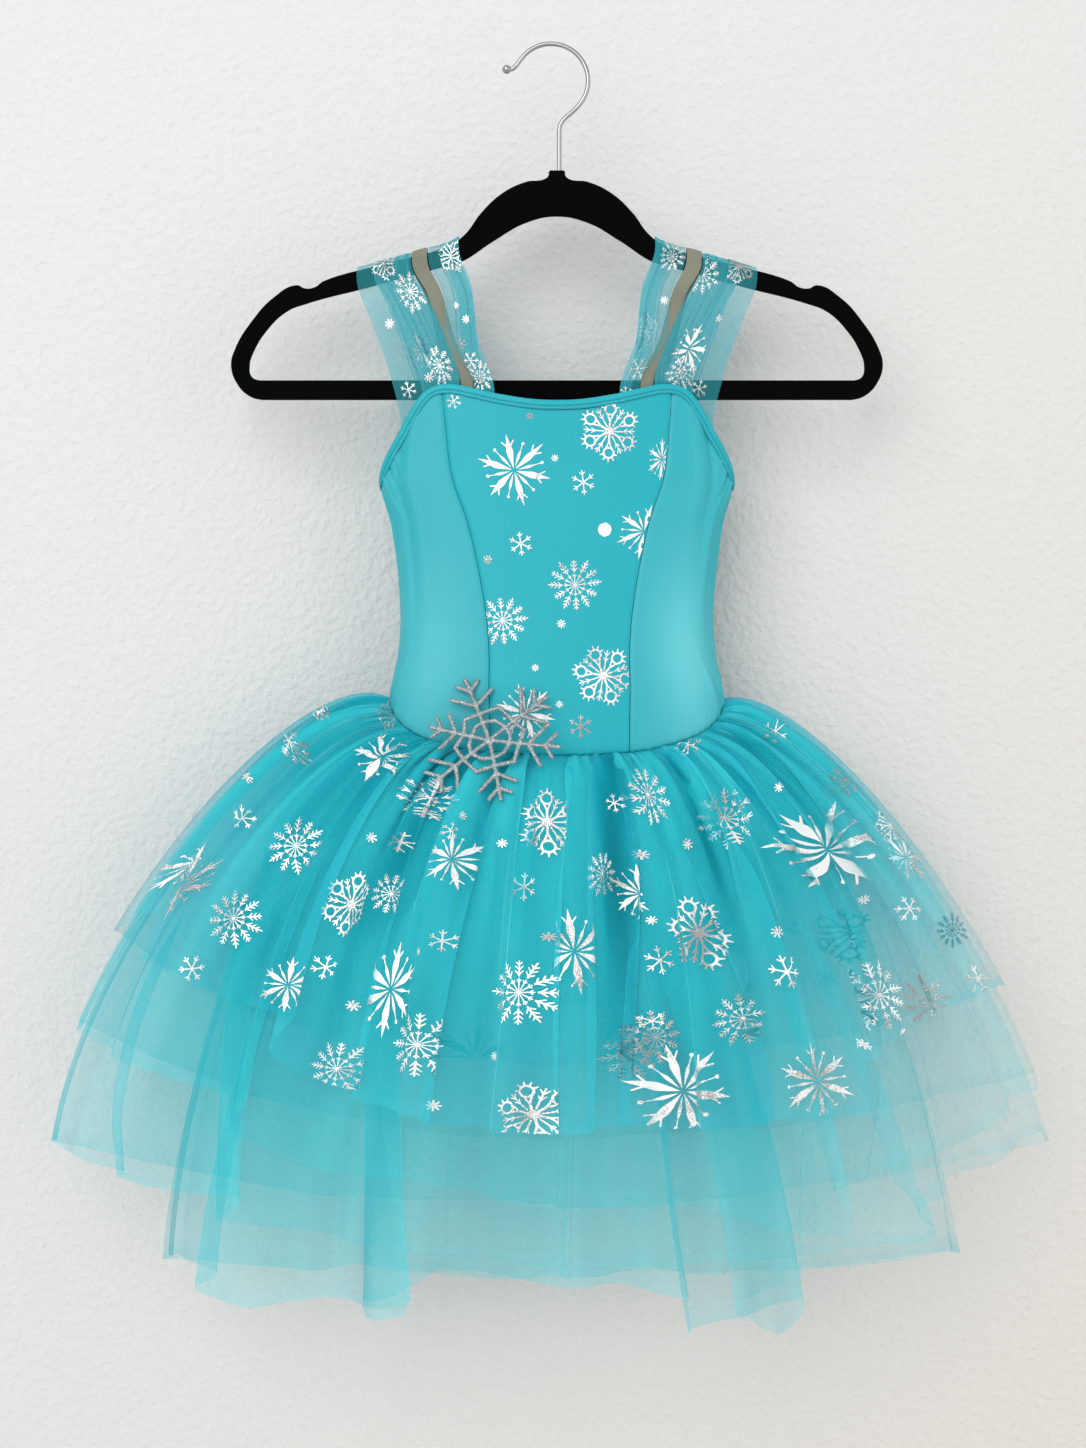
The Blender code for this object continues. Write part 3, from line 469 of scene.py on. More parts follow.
spandex_colours = {
    "foil_printed_spandex": ((0.012, 0.400, 0.480, 1.0), (0.022, 0.460, 0.540, 1.0)),
    "plain_spandex": ((0.020, 0.395, 0.462, 1.0), (0.050, 0.480, 0.548, 1.0)),
}
# Colour of the highlight painted low on the side panels
PAINTED_SHEEN_COLOUR = (0.17, 0.66, 0.73, 1.0)
spandex = {}
for name, (deep, light) in spandex_colours.items():
    knit, wire = new_finish(
        name, Roughness=0.36, Specular_IOR_Level=0.22, Sheen_Weight=0.10, Sheen_Roughness=0.35,
        Sheen_Tint=(0.45, 0.95, 1.0, 1.0),
    )
    place = wire.node("ShaderNodeTexCoord", output=3)
    ribs = wire.node(
        "ShaderNodeTexWave", {"bands_direction": "X"},
        {"Vector": place, "Scale": 330.0, "Distortion": 0.6, "Detail": 1.0, "Detail Scale": 3.0}, 1,
    )
    clouds = wire.noise(9.0, 3.0)
    loops = wire.noise(1800.0, 2.0, stretch=(1.0, 1.0, 0.35))
    # The stretch value kept at the points paints a highlight low on the side panels, where light falls on their
    # curve
    feed(
        knit,
        Base_Color=wire.kept("stretch").mix((clouds * 0.7 + loops * 0.3).mix(deep, light), PAINTED_SHEEN_COLOUR),
        Roughness=loops * 0.16 + 0.30,
        Normal=(ribs * 0.5 + loops).bump(0.16, 0.0003),
    )
    spandex[name] = knit


def grid_normals(grid, closed=False):
    """Outward normals of a grid whose rows go down and whose columns go round from the front to +X."""
    down = np.gradient(grid, axis=0)
    if closed:
        around = np.roll(grid, -1, axis=1) - np.roll(grid, 1, axis=1)
    else:
        around = np.gradient(grid, axis=1)
    return unit(np.cross(down, around))


def set_values(piece, name, values):
    """Keeps a value at each point of a piece for its finish to read."""
    attribute = piece.data.attributes.new(name, "FLOAT", "POINT")
    attribute.data.foreach_set("value", np.ascontiguousarray(values, dtype=np.float32).ravel())


def bar(start, end, half_start, half_end):
    """Straight stroke of a printed flake in a circle of radius 1: its centre line and half widths."""
    count = max(2, int(math.dist(start, end) / FOIL_STEP) + 2)
    t = np.linspace(0.0, 1.0, count)[:, None]
    line = np.array(start) * (1 - t) + np.array(end) * t
    return line, (half_start * (1 - t) + half_end * t)[:, 0]


def blade(start, end, half, widest):
    """Stroke that comes to a point at both ends."""
    line = bar(start, end, 0.0, 0.0)[0]
    if len(line) <= 5:
        line = np.linspace(start, end, 6)
    t = np.linspace(0.0, 1.0, len(line))
    return line, half * np.where(t < widest, t / widest, (1.0 - t) / (1.0 - widest))


def disc(centre, radius):
    t = np.linspace(-1.0, 1.0, 7)
    line = np.stack([np.full(7, centre[0]), centre[1] + radius * t], axis=-1)
    return line, radius * np.sqrt(np.maximum(1.0 - t * t, 0.0))


def ring(centre, radius, half):
    turn = np.linspace(0.0, 2.0 * math.pi, 15)
    line = np.stack([centre[0] + radius * np.cos(turn), centre[1] + radius * np.sin(turn)], axis=-1)
    return line, np.full(15, half)


def barbs(at, long, degrees, half):
    """A pair of short strokes that point outwards from the arm."""
    aside, ahead = math.sin(math.radians(degrees)) * long, math.cos(math.radians(degrees)) * long
    return [bar((0.0, at), (side * aside, at + ahead), half, half * 0.6) for side in (1.0, -1.0)]


def turned(strokes, degrees):
    c, s = math.cos(math.radians(degrees)), math.sin(math.radians(degrees))
    turn = np.array([[c, s], [-s, c]])
    return [(line @ turn, halves) for line, halves in strokes]


# Length between the points of a stroke, and how far it stands off the cloth, or lies behind sheer net
FOIL_STEP = 0.09
FOIL_LIFT = 0.22
FOIL_BEHIND = -0.5
# Columns of cloth that a flake may reach each way, and how many are averaged to smooth out gathers
FOIL_REACH = 90
FOIL_SMOOTH = 12
# Foil lands only where the cloth doesn't face away by more than this, and isn't farther back than this
FOIL_FACING = 0.35
FOIL_BACKMOST = 4.0
# Of the places this much farther off than the nearest one, the foremost is taken
FOIL_NEAREST = 1.5
NOWHERE = 1e4
fern, rings, star, small, speck = [disc((0.0, 0.0), 0.07)], [disc((0.0, 0.0), 0.14)], [], [], []
for k in range(12):
    tip = 1.0 if k % 2 else 0.93
    arm = [bar((0.0, 0.08), (0.0, 0.22), 0.013, 0.013), bar((0.0, 0.20), (0.0, 0.42), 0.018, 0.016)]
    arm += barbs(0.30, 0.10, 42.0, 0.020) + [bar((0.0, 0.47), (0.0, tip), 0.026, 0.020)]
    arm += barbs(0.52, 0.17, 47.0, 0.023) + barbs(0.66, 0.17, 47.0, 0.023) + barbs(0.80, 0.13, 47.0, 0.021)
    fern += turned(arm, 30.0 * k)
for k in range(6):
    arm = [ring((0.0, 0.69), 0.165, 0.032)]
    arm += [bar((0.0, 0.10), (0.0, 0.34), 0.036, 0.030)]
    arm += [bar((0.0, 0.32), (0.10 * d, 0.56), 0.026, 0.026) for d in (1.0, -1.0)]
    for swing in (-75.0, -38.0, 0.0, 38.0, 75.0):
        x, y = math.sin(math.radians(swing)), math.cos(math.radians(swing))
        arm.append(bar((0.18 * x, 0.69 + 0.18 * y), (0.29 * x, 0.69 + 0.30 * y), 0.030, 0.016))
    rings += turned(arm, 60.0 * k)
    arm = [bar((0.0, 0.16), (0.0, 0.80), 0.022, 0.018)]
    arm += barbs(0.44, 0.15, 32.0, 0.022) + barbs(0.62, 0.16, 36.0, 0.022)
    rings += turned(arm, 60.0 * k + 30.0)
    arm = [blade((0.0, 0.05), (0.0, 1.0), 0.092, 0.48)] + barbs(0.60, 0.26, 38.0, 0.024)
    star += turned(arm, 60.0 * k)
    arm = [blade((0.0, 0.10), (0.0, 0.60), 0.042, 0.6), bar((0.0, 0.58), (0.0, 0.72), 0.010, 0.010)]
    arm.append(disc((0.0, 0.74), 0.042))
    star += turned(arm, 60.0 * k + 30.0)
    small += turned([bar((0.0, 0.0), (0.0, 0.95), 0.050, 0.040)] + barbs(0.58, 0.30, 45.0, 0.050), 60.0 * k)
for k in range(4):
    speck += turned([bar((0.0, -1.0), (0.0, 1.0), 0.13, 0.13)], 45.0 * k)
dot = [disc((0.0, 0.0), 1.0)]
FLAKES = {"fern": fern, "rings": rings, "star": star, "small": small, "speck": speck, "dot": dot}

foil, wire = new_finish("silver_foil", Roughness=0.34, Metallic=0.30, Specular_IOR_Level=0.6)
dull = wire.kept("dull")
grains = wire.noise(1300.0, 2.0)
patches = wire.noise(34.0, 2.0)
# Grey on the foil: partly the foil's own grain, partly painted dark reflection where real foil would mirror
# darker surroundings, and greyer on duller flakes
grain_and_reflection_grey = ((grains - 0.50) * 7.0 + (patches - 0.57) * 8.0 + dull * 2.4 + 0.15).clamped()
# A dullness of 2 marks foil seen through the net that it is printed on
through_share = ((dull - 1.5).clamped() * 2.0).clamped()
silver = grain_and_reflection_grey.mix((0.92, 0.94, 0.94, 1.0), (0.33, 0.33, 0.325, 1.0))
reverse = wire.node("ShaderNodeNewGeometry", output=6)
colour = through_share.mix(reverse.mix(silver, (0.02, 0.20, 0.25, 1.0)), (0.012, 0.22, 0.28, 1.0))
feed(foil, Base_Color=colour, Normal=grains.bump(0.25, 0.0002))


def running_length(line):
    """Distance of each point of a line from its first one, along the line."""
    return np.concatenate([[0.0], np.cumsum(np.linalg.norm(np.diff(line, axis=0), axis=-1))])


def sample_grid(values, i, j):
    """Values of a grid at places between its rows and columns."""
    a, b = i.astype(int), j.astype(int)
    c = (b + 1) % values.shape[1]
    s, t = (i - a)[:, None], (j - b)[:, None]
    upper = values[a, b] * (1 - t) + values[a, c] * t
    lower = values[a + 1, b] * (1 - t) + values[a + 1, c] * t
    return upper * (1 - s) + lower * s


def print_foil(name, grid, flakes, closed=False, side=1.0, facing=-1.0):
    """Presses flakes on a grid of cloth, closed round its columns or not."""
    rows, columns = grid.shape[:2]
    normals = grid_normals(grid, closed) * side
    hidden = (normals[..., 1] * facing < -FOIL_FACING) | (grid[..., 1] * facing < -FOIL_BACKMOST)
    last_row, last_column = rows - 1.001, columns - (0.0001 if closed else 1.001)
    points, faces, dulls = [], [], []
    for kind, across, drop, wide, high, spin, dullness, *behind in flakes:
        away = np.hypot(grid[..., 0] - across, grid[..., 2] + drop) + np.where(hidden, NOWHERE, 0.0)
        depth = np.where(away < away.min() + FOIL_NEAREST, -facing * grid[..., 1], NOWHERE)
        i0, j0 = np.unravel_index(np.argmin(depth), depth.shape)
        # Lengths along the row through the centre, with gathers smoothed out, and down the column through it
        row_at = np.arange(-FOIL_REACH, FOIL_REACH + 1) + j0
        if closed:
            padded = np.pad(grid[i0, row_at % columns], ((FOIL_SMOOTH, FOIL_SMOOTH), (0, 0)), mode="edge")
            window = np.ones(2 * FOIL_SMOOTH + 1) / (2 * FOIL_SMOOTH + 1)
            row_line = np.stack([np.convolve(padded[:, k], window, "valid") for k in range(3)], axis=-1)
        else:
            row_line = grid[i0, np.clip(row_at, 0, columns - 1)]
        row_long = running_length(row_line)
        row_long -= row_long[FOIL_REACH]
        column_long = running_length(grid[:, j0])
        column_long -= column_long[i0]
        across_way = unit(row_line[FOIL_REACH + 4] - row_line[FOIL_REACH - 4])
        down_way = unit(grid[min(i0 + 2, rows - 1), j0] - grid[max(i0 - 2, 0), j0])
        lean = float(np.dot(across_way, down_way))
        square = max(1.0 - lean * lean, 0.3)
        for line, halves in turned(FLAKES[kind], spin):
            along = unit(np.gradient(line, axis=0))
            aside = np.stack([-along[:, 1], along[:, 0]], axis=-1) * halves[:, None]
            flat = np.stack([line + aside, line, line - aside], axis=1).reshape(-1, 2)
            # Lengths along the row, which leans to the fall, then what is left down the column
            along_row = flat[:, 0] * wide / 2.0 / math.sqrt(square)
            down_column = -flat[:, 1] * high / 2.0 - lean * along_row
            j = np.interp(along_row, row_long, row_at.astype(float), left=-NOWHERE, right=NOWHERE)
            i = np.interp(down_column, column_long, np.arange(rows), left=-NOWHERE, right=NOWHERE)
            inside = (i > 0.0) & (i < last_row)
            if closed:
                j = np.where(np.abs(j) < NOWHERE, j, j0) % columns
            else:
                inside &= (j > 0.0) & (j < last_column)
            i, j = np.clip(i, 0.0, last_row), np.clip(j, 0.0, last_column)
            lift = unit(sample_grid(normals, i, j)) * (FOIL_BEHIND if behind else FOIL_LIFT)
            base = len(points)
            points.extend(sample_grid(grid, i, j) + lift)
            dulls.extend([dullness] * len(flat))
            for n in range(len(line) - 1):
                for first in (3 * n, 3 * n + 1):
                    quad = (first, first + 1, first + 4, first + 3)
                    if all(inside[v] for v in quad):
                        faces.append(tuple(base + v for v in (quad if side > 0 else quad[::-1])))
    used = sorted({v for face in faces for v in face})
    renumber = {v: n for n, v in enumerate(used)}
    faces = [tuple(renumber[v] for v in face) for face in faces]
    piece = add_piece(name, [points[v] for v in used], faces, foil)
    set_values(piece, "dull", [dulls[v] for v in used])
    return piece


def cloth_area(points, closed=False):
    """Area of a grid of cloth, closed round its columns or not."""
    beside = np.roll(points, -1, axis=1) if closed else points[:, 1:]
    here = points[:, :beside.shape[1]]
    return float(np.linalg.norm(np.cross(np.diff(here, axis=0), (beside - here)[:-1]), axis=-1).sum())


def crease_offset(turn, drop):
    """How far the listed creases push the knit out at these places."""
    out = np.zeros(np.shape(turn))
    turn = (np.degrees(turn) + 180.0) % 360.0 - 180.0
    for at, at_drop, wide, long, lean, push in BODICE_CREASES:
        aside = (turn - at) * 1.75 - (drop - at_drop) * lean
        out += push * np.exp(-((aside / wide) ** 2) - ((drop - at_drop) / long) ** 2)
    return out


panel_grids = {}
for name, kind, columns, node, finish_name in PANELS:
    share = np.linspace(0.0, 1.0, PANEL_ROWS)[:, None]
    across = np.linspace(0.0, 1.0, columns)[None, :]
    # More points close to the seams, where the knit pulls in
    across = across - SEAM_CROWD * np.sin(2.0 * math.pi * across) / (2.0 * math.pi)
    top_first, top_last = panel_edges(kind, np.zeros((1, 1)))
    top_turn = top_first + (top_last - top_first) * across
    moved, top = below_edge(top_turn, BAND_DEEP - 1.5)
    first, last = panel_edges(kind, share)
    turn = first + (last - first) * across + (moved - top_turn) * (1.0 - share) ** 2
    drop = top + (waist_drop(turn) + 0.6 - top) * share
    points, normals = bodice_point(turn, drop), bodice_normal(turn, drop)
    run = np.linalg.norm(np.diff(points, axis=1), axis=-1)
    from_first = np.concatenate([np.zeros((PANEL_ROWS, 1)), np.cumsum(run, axis=1)], axis=1)
    from_last = from_first[:, -1:] - from_first
    to_seam = np.minimum(from_first, from_last)
    to_waist = waist_drop(turn) + 0.6 - drop
    dip = SEAM_DIP * np.exp(-((to_seam / SEAM_DIP_WIDE) ** 2)) + 1.2 * np.exp(-((to_waist / 2.0) ** 2))
    pucker = 0.12 * np.sin(drop * 1.1 + 2.0 * np.sin(drop * 0.13)) * np.exp(-to_seam / 5.0)
    around = from_first * 0.85 + 3.0 * np.sin(from_first * 0.11)
    at_waist = np.exp(-((to_waist / 9.0) ** 2)) * np.clip(to_seam / 6.0, 0.0, 1.0)
    pucker = pucker + 0.30 * np.sin(around) * at_waist
    points = points + normals * (crease_offset(turn, drop) + pucker - dip)[..., None]
    panel_grids[name] = points
    faces = grid_faces(PANEL_ROWS, columns, False)
    panel = add_piece(name, points.reshape(-1, 3), faces, spandex[finish_name], [node])
    # The knit is painted paler low on the sides, a painted highlight where light falls on its curve
    from_back = np.degrees(turn) % 360.0 - 180.0
    beside = (from_back ** 2 - (180.0 - SHEEN_TURN) ** 2) / SHEEN_WIDE
    painted_sheen = np.exp(-(((drop - SHEEN_DROP) / SHEEN_LONG) ** 2)) * np.exp(-(beside ** 2))
    # The stretch value kept here is the share of painted highlight
    set_values(panel, "stretch", painted_sheen * PAINTED_SIDE_SHEEN.get(kind, 0.0))
    thick = panel.modifiers.new("cloth", "SOLIDIFY")
    thick.thickness = SPANDEX_THICK * MM
    thick.offset = -1.0
    wide = float(from_first[:, -1].max())
    long = float(np.linalg.norm(np.diff(points, axis=0), axis=-1).sum(axis=0).max())
    area = cloth_area(points)
    prints = []
    if kind == "centre":
        prints = [print_foil("front_centre_foil", points, BODICE_FLAKES)]

# Edge band
# The neckline and armhole edge of the same knit, turned in and held down by two rows of coverstitch in a
# slightly darker thread.

# Columns: share of the band's depth below the top edge, out from the bodice's face
BAND_PROFILE = (
    (1.00, 0.05), (0.99, 0.42), (0.955, 0.40), (0.90, 0.60), (0.75, 0.72), (0.66, 0.62), (0.60, 0.44),
    (0.54, 0.62), (0.40, 0.74), (0.20, 0.70), (0.07, 0.52), (0.01, 0.10), (0.0, -0.50), (0.03, -1.20),
    (0.12, -1.60), (0.40, -1.80), (0.70, -1.80), (1.00, -1.75),
)
BAND_COLUMNS = 720
# Width of the strip before it is turned in
STITCH_LONG = 2.3
STITCH_EVERY = 3.1
STITCH_R = 0.30
# Columns: share of the band's depth of a row of stitches, out from the bodice's face
STITCH_ROWS = ((0.60, 0.46), (0.955, 0.42))

band_turns = np.linspace(0.0, 2.0 * math.pi, BAND_COLUMNS, endpoint=False)[None, :]
band_points = []
for deep, out in BAND_PROFILE:
    turn, drop = below_edge(band_turns, BAND_DEEP * deep)
    band_points.append((bodice_point(turn, drop) + bodice_normal(turn, drop) * out)[0])
band_points = np.array(band_points[::-1])
edge_length = float(np.linalg.norm(np.roll(band_points[6], -1, axis=0) - band_points[6], axis=-1).sum())
band_ripple = 0.10 * np.sin(band_turns[0] * 157.0) * np.sin(band_turns[0] * 23.0 + 1.0)
band_points = band_points + bodice_normal(band_turns, top_drop(band_turns)) * band_ripple[None, :, None]
band = add_piece(
    "edge_band_fold", band_points.reshape(-1, 3), grid_faces(len(BAND_PROFILE), BAND_COLUMNS, True),
    spandex["foil_printed_spandex"], ["edge_band"],
)

thread, wire = new_finish("coverstitch_thread", Roughness=0.55)
feed(thread, Base_Color=wire.noise(700.0).mix((0.008, 0.20, 0.25, 1.0), (0.02, 0.30, 0.36, 1.0)))


def stitch_mesh(starts, ends, outs, radius):
    """Points and faces of a row of thread loops that rise from the cloth at start and sink in at end."""
    spine = (-0.2, 0.05, 0.35, 0.65, 0.95, 1.2)
    lift = (-0.5, 0.25, 0.6, 0.6, 0.25, -0.5)
    sides = 6
    points, faces = [], []
    for start, end, out in zip(starts, ends, outs):
        along = unit(end - start)
        aside = np.cross(out, along)
        base = len(points)
        for t, up in zip(spine, lift):
            centre = start + (end - start) * t + out * up * radius
            for k in range(sides):
                swing = 2.0 * math.pi * k / sides
                points.append(centre + (aside * math.cos(swing) + out * math.sin(swing)) * radius)
        for i in range(len(spine) - 1):
            for k in range(sides):
                a, b = base + i * sides + k, base + i * sides + (k + 1) % sides
                faces.append((a, b, b + sides, a + sides))
        faces.append(tuple(base + k for k in range(sides))[::-1])
        faces.append(tuple(base + (len(spine) - 1) * sides + k for k in range(sides)))
    return points, faces


stitch_points, stitch_faces = [], []
for deep, out in STITCH_ROWS:
    count = int(edge_length / STITCH_EVERY)
    fine = np.linspace(0.0, 2.0 * math.pi, 4000)
    turn, drop = below_edge(fine, BAND_DEEP * deep)
    line = bodice_point(turn, drop) + bodice_normal(turn, drop) * out
    along = running_length(line)
    starts = np.arange(count) * along[-1] / count
    ends = starts + STITCH_LONG
    at_start = np.stack([np.interp(starts, along, line[:, k]) for k in range(3)], axis=-1)
    at_end = np.stack([np.interp(ends % along[-1], along, line[:, k]) for k in range(3)], axis=-1)
    places = np.interp(starts, along, fine)
    points, faces = stitch_mesh(at_start, at_end, bodice_normal(places, top_drop(places)), STITCH_R)
    stitch_faces += [tuple(v + len(stitch_points) for v in face) for face in faces]
    stitch_points += points
coverstitch = add_piece("edge_coverstitch", stitch_points, stitch_faces, thread)

# Straps
# On each shoulder a strip of printed tulle lies each side of a grey-green elastic. All are caught in the edge
# band at front and back, and go over the hanger's arm.

# Columns: strap, node, set back behind the others, then the edges nearest and farthest from the centre line
# at the neckline, a third up, two thirds up and over the arm
STRAPS = (
    ("tulle_strap_inner", "strap_tulle_inner", 0.0, (42.5, 56.5), (53.5, 74.2), (58.5, 78.6), (67.0, 87.8)),
    ("elastic", "strap_elastic", 1.5, (57.0, 66.0), (69.5, 79.5), (79.6, 89.0), (88.4, 98.6)),
    (
        "tulle_strap_outer", "strap_tulle_outer", 0.0,
        (66.6, 103.5), (74.9, 113.5), (89.8, 127.5), (99.2, 136.5),
    ),
)
# Gap over the hanger's arm, thickness of a strap, length of it caught inside the neckline, lines along it that
# its shape is worked out from
STRAP_LIFT = 0.4
STRAP_THICK = 1.0
STRAP_TUCK = 9.0
STRAP_LANES = 9
# A tulle strap's cut is this much wider than what shows of it
SPANDEX_INSET = 0.6
# Columns: across from the centre line, drop of the hanger arm's crest where the straps lie
ARM_CREST = (
    (50.0, 112.0), (60.0, 125.8), (67.0, 131.4), (73.0, 134.9), (81.0, 137.5), (99.0, 142.5), (118.0, 147.7),
    (137.0, 153.1), (156.0, 158.6), (175.0, 164.0),
)
BAND_THICK = 2.4
STRAP_ROWS = 120
# Long pleats in the tulle straps. Columns: share of the way out from the centre line, half width as a share,
# fold, out
STRAP_PLEATS = {
    "tulle_strap_inner": ((0.22, 0.07, 1.9, 0.5), (0.62, 0.06, 1.7, -0.4), (0.90, 0.04, 1.2, 0.4)),
    "tulle_strap_outer": (
        (0.10, 0.05, 2.1, 0.5), (0.27, 0.045, 1.9, -0.5), (0.47, 0.05, 2.2, 0.5), (0.66, 0.035, 1.7, 0.4),
    ),
}
# Share of the way out where the doubled part of each tulle strap begins and ends
STRAP_DOUBLED = {"tulle_strap_inner": (0.0, 0.55), "tulle_strap_outer": (-0.05, 0.68)}

# Flakes printed on the straps. Columns: kind, across, drop, width, height, spin in degrees, dullness, and
# "behind" for those seen through the net
STRAP_FLAKES = {
    "tulle_strap_outer_left": (
        ("fern", -96, 169, 29, 31, 0, 0.1), ("star", -89, 210, 27, 30, 0, 0.7, "behind"),
        ("rings", -113, 147, 23, 27, 0, 0.3), ("speck", -111, 192, 7, 7, 0, 0.2),
        ("small", -105, 210, 15, 18, 0, 0.6, "behind"), ("small", -98, 237, 12, 13, 0, 0.2),
        ("fern", -77, 220, 24, 30, 8, 0.15), ("speck", -84, 229, 7, 7, 0, 0.1),
    ),
    "tulle_strap_inner_left": (
        ("rings", -67, 144, 23, 27, 10, 0.2), ("fern", -50, 228, 22, 24, 0, 0.2),
        ("speck", -59, 188, 6, 6, 0, 0.2), ("small", -56, 216, 12, 13, 0, 0.3),
        ("speck", -66, 178, 5, 5, 0, 0.3), ("small", -62, 205, 8, 8, 0, 0.9),
    ),
    "tulle_strap_outer_right": (
        ("fern", 104, 157, 29, 30, 0, 0.1), ("star", 93, 207, 31, 41, 10, 0.1),
        ("rings", 129, 150, 24, 26, 0, 0.6), ("speck", 115, 186, 6, 6, 0, 0.2),
        ("fern", 86, 224, 28, 26, 0, 0.3), ("small", 102, 236, 12, 13, 0, 0.2),
    ),
    "tulle_strap_inner_right": (
        ("fern", 82, 144, 23, 22, 0, 0.2), ("rings", 65, 197, 19, 30, 0, 0.7, "behind"),
        ("small", 59, 222, 15, 18, 0, 0.4), ("speck", 77, 175, 6, 6, 0, 0.3),
        ("small", 52, 238, 12, 9, 0, 0.2),
    ),
}


def strap_path(set_back, at_neck, third, two_thirds, at_arm):
    """Points of one lengthwise line of a strap, from inside the front neckline to inside the back."""
    hang = HANGER_THICK / 2.0 + STRAP_LIFT + STRAP_THICK
    over = float(table_value(ARM_CREST, at_arm)) - STRAP_LIFT - STRAP_THICK
    inset = SPANDEX_INSET + BAND_THICK / 2.0 + SEAM_GAP + set_back
    points = []
    for front in (True, False):
        share = min(1.0, at_neck / float(table_value(BODICE_SECTIONS, 240.0)))
        turn = math.asin(share ** (SECTION_POWER / 2.0))
        if not front:
            turn = math.pi - turn
        edge = float(top_drop(turn))
        stations = []
        for drop in (edge + STRAP_TUCK, edge - 1.0):
            place = bodice_point(turn, drop) - bodice_normal(turn, drop) * inset
            stations.append(place - np.array([CENTRE_X, 0.0, 0.0]))
        sign = -1.0 if front else 1.0
        neck_y = abs(stations[-1][1]) + set_back
        # Columns: share of the way up to the hanger, share of the way in towards its face, across
        for up, near, across in ((0.35, 0.45, third), (0.7, 0.82, two_thirds)):
            drop = edge + (over - edge) * up
            stations.append(np.array([across, sign * (neck_y + (hang - neck_y) * near - set_back), -drop]))
        # Columns: share of the hang distance out, drop below the crest
        for out, below in ((1.0, 9.0), (1.0, 2.4), (0.62, 0.5)):
            stations.append(np.array([at_arm, sign * hang * out, -(over + below)]))
        if front:
            points += stations + [np.array([at_arm, 0.0, -over])]
        else:
            points += stations[::-1]
    return np.array(points)


def smooth_line(points, count):
    """Evenly spaced points on a smooth line through these ones."""
    along = running_length(points)
    slopes = np.gradient(points, along, axis=0)
    at = np.linspace(0.0, along[-1], count)
    k = np.clip(np.searchsorted(along, at, side="right") - 1, 0, len(points) - 2)
    span = (along[k + 1] - along[k])[:, None]
    t = (at[:, None] - along[k][:, None]) / span
    rise = 3 * t * t - 2 * t ** 3
    start, end = t ** 3 - 2 * t * t + t, t ** 3 - t * t
    return points[k] * (1 - rise) + points[k + 1] * rise + span * (slopes[k] * start + slopes[k + 1] * end)


# Colour of the shade painted into net that lies deep between folds
NET_SHADE = (0.0, 0.20, 0.26, 1.0)


def tulle_finish(name, deep, light, fold, open_share):
    """Fine net: it covers more where it is gathered, and more as it turns edge on, as a real net does."""
    net, wire = new_finish(
        name, Roughness=0.65, Specular_IOR_Level=0.10, Sheen_Weight=0.05, Sheen_Roughness=0.4,
        Sheen_Tint=(0.55, 0.95, 1.0, 1.0),
    )
    cover, crease, tone = wire.kept("cover"), wire.kept("crease"), wire.kept("tone")
    turned = wire.node("ShaderNodeLayerWeight", None, {"Blend": 0.5}, 1)
    clouds = wire.noise(14.0, 3.0)
    threads = wire.noise(1500.0, 1.0)
    seen = 1.03 - turned * open_share
    thickness = cover * (clouds * 0.5 + 0.75) * (threads * 0.5 + 0.75) / seen
    alpha = (1.0 - 2.718 ** (0.0 - thickness)).clamped()
    body = (tone * 0.75 + clouds * 0.3 + threads * 0.2 - 0.12).clamped().mix(deep, light)
    # A tone below 0 marks net that lies deep between two folds, which is painted in shade towards NET_SHADE
    body = (0.0 - tone).clamped().mix(body, NET_SHADE)
    # Net along its fold lines is painted towards the fold colour, a painted sheen where it turns edge on
    feed(net, Base_Color=crease.clamped().mix(body, fold), Alpha=alpha)
    return net


# The third colour of each net is the sheen painted along its fold lines
strap_tulle = tulle_finish(
    "strap_tulle", (0.040, 0.47, 0.56, 1.0), (0.075, 0.56, 0.64, 1.0), (0.30, 0.74, 0.80, 1.0), 0.75,
)
elastic, wire = new_finish("elastic_braid", Roughness=0.8, Sheen_Weight=0.15, Specular_IOR_Level=0.2)
place = wire.node("ShaderNodeTexCoord", output=3)
braid = wire.node(
    "ShaderNodeTexWave", {"bands_direction": "Z"},
    {"Vector": place, "Scale": 260.0, "Distortion": 1.5, "Detail": 1.0}, 1,
)
worn = wire.noise(40.0, 3.0)
feed(
    elastic,
    Base_Color=(worn * 0.6 + braid * 0.3).mix((0.17, 0.17, 0.125, 1.0), (0.33, 0.345, 0.275, 1.0)),
    Normal=(braid + wire.noise(2500.0)).bump(0.35, 0.0004),
)


def on_strap(lanes, normals, share, out):
    """Points this share of the way out on a strap, lifted off its smooth face."""
    at = np.clip(share, 0.0, 1.0) * (STRAP_LANES - 1)
    k = np.clip(at.astype(int), 0, STRAP_LANES - 2)
    t = (at - k)[..., None]
    row = np.arange(STRAP_ROWS)[:, None]
    place = lanes[k, row] * (1 - t) + lanes[k + 1, row] * t
    normal = unit(normals[row, k] * (1 - t) + normals[row, k + 1] * t)
    return place + normal * out[..., None]


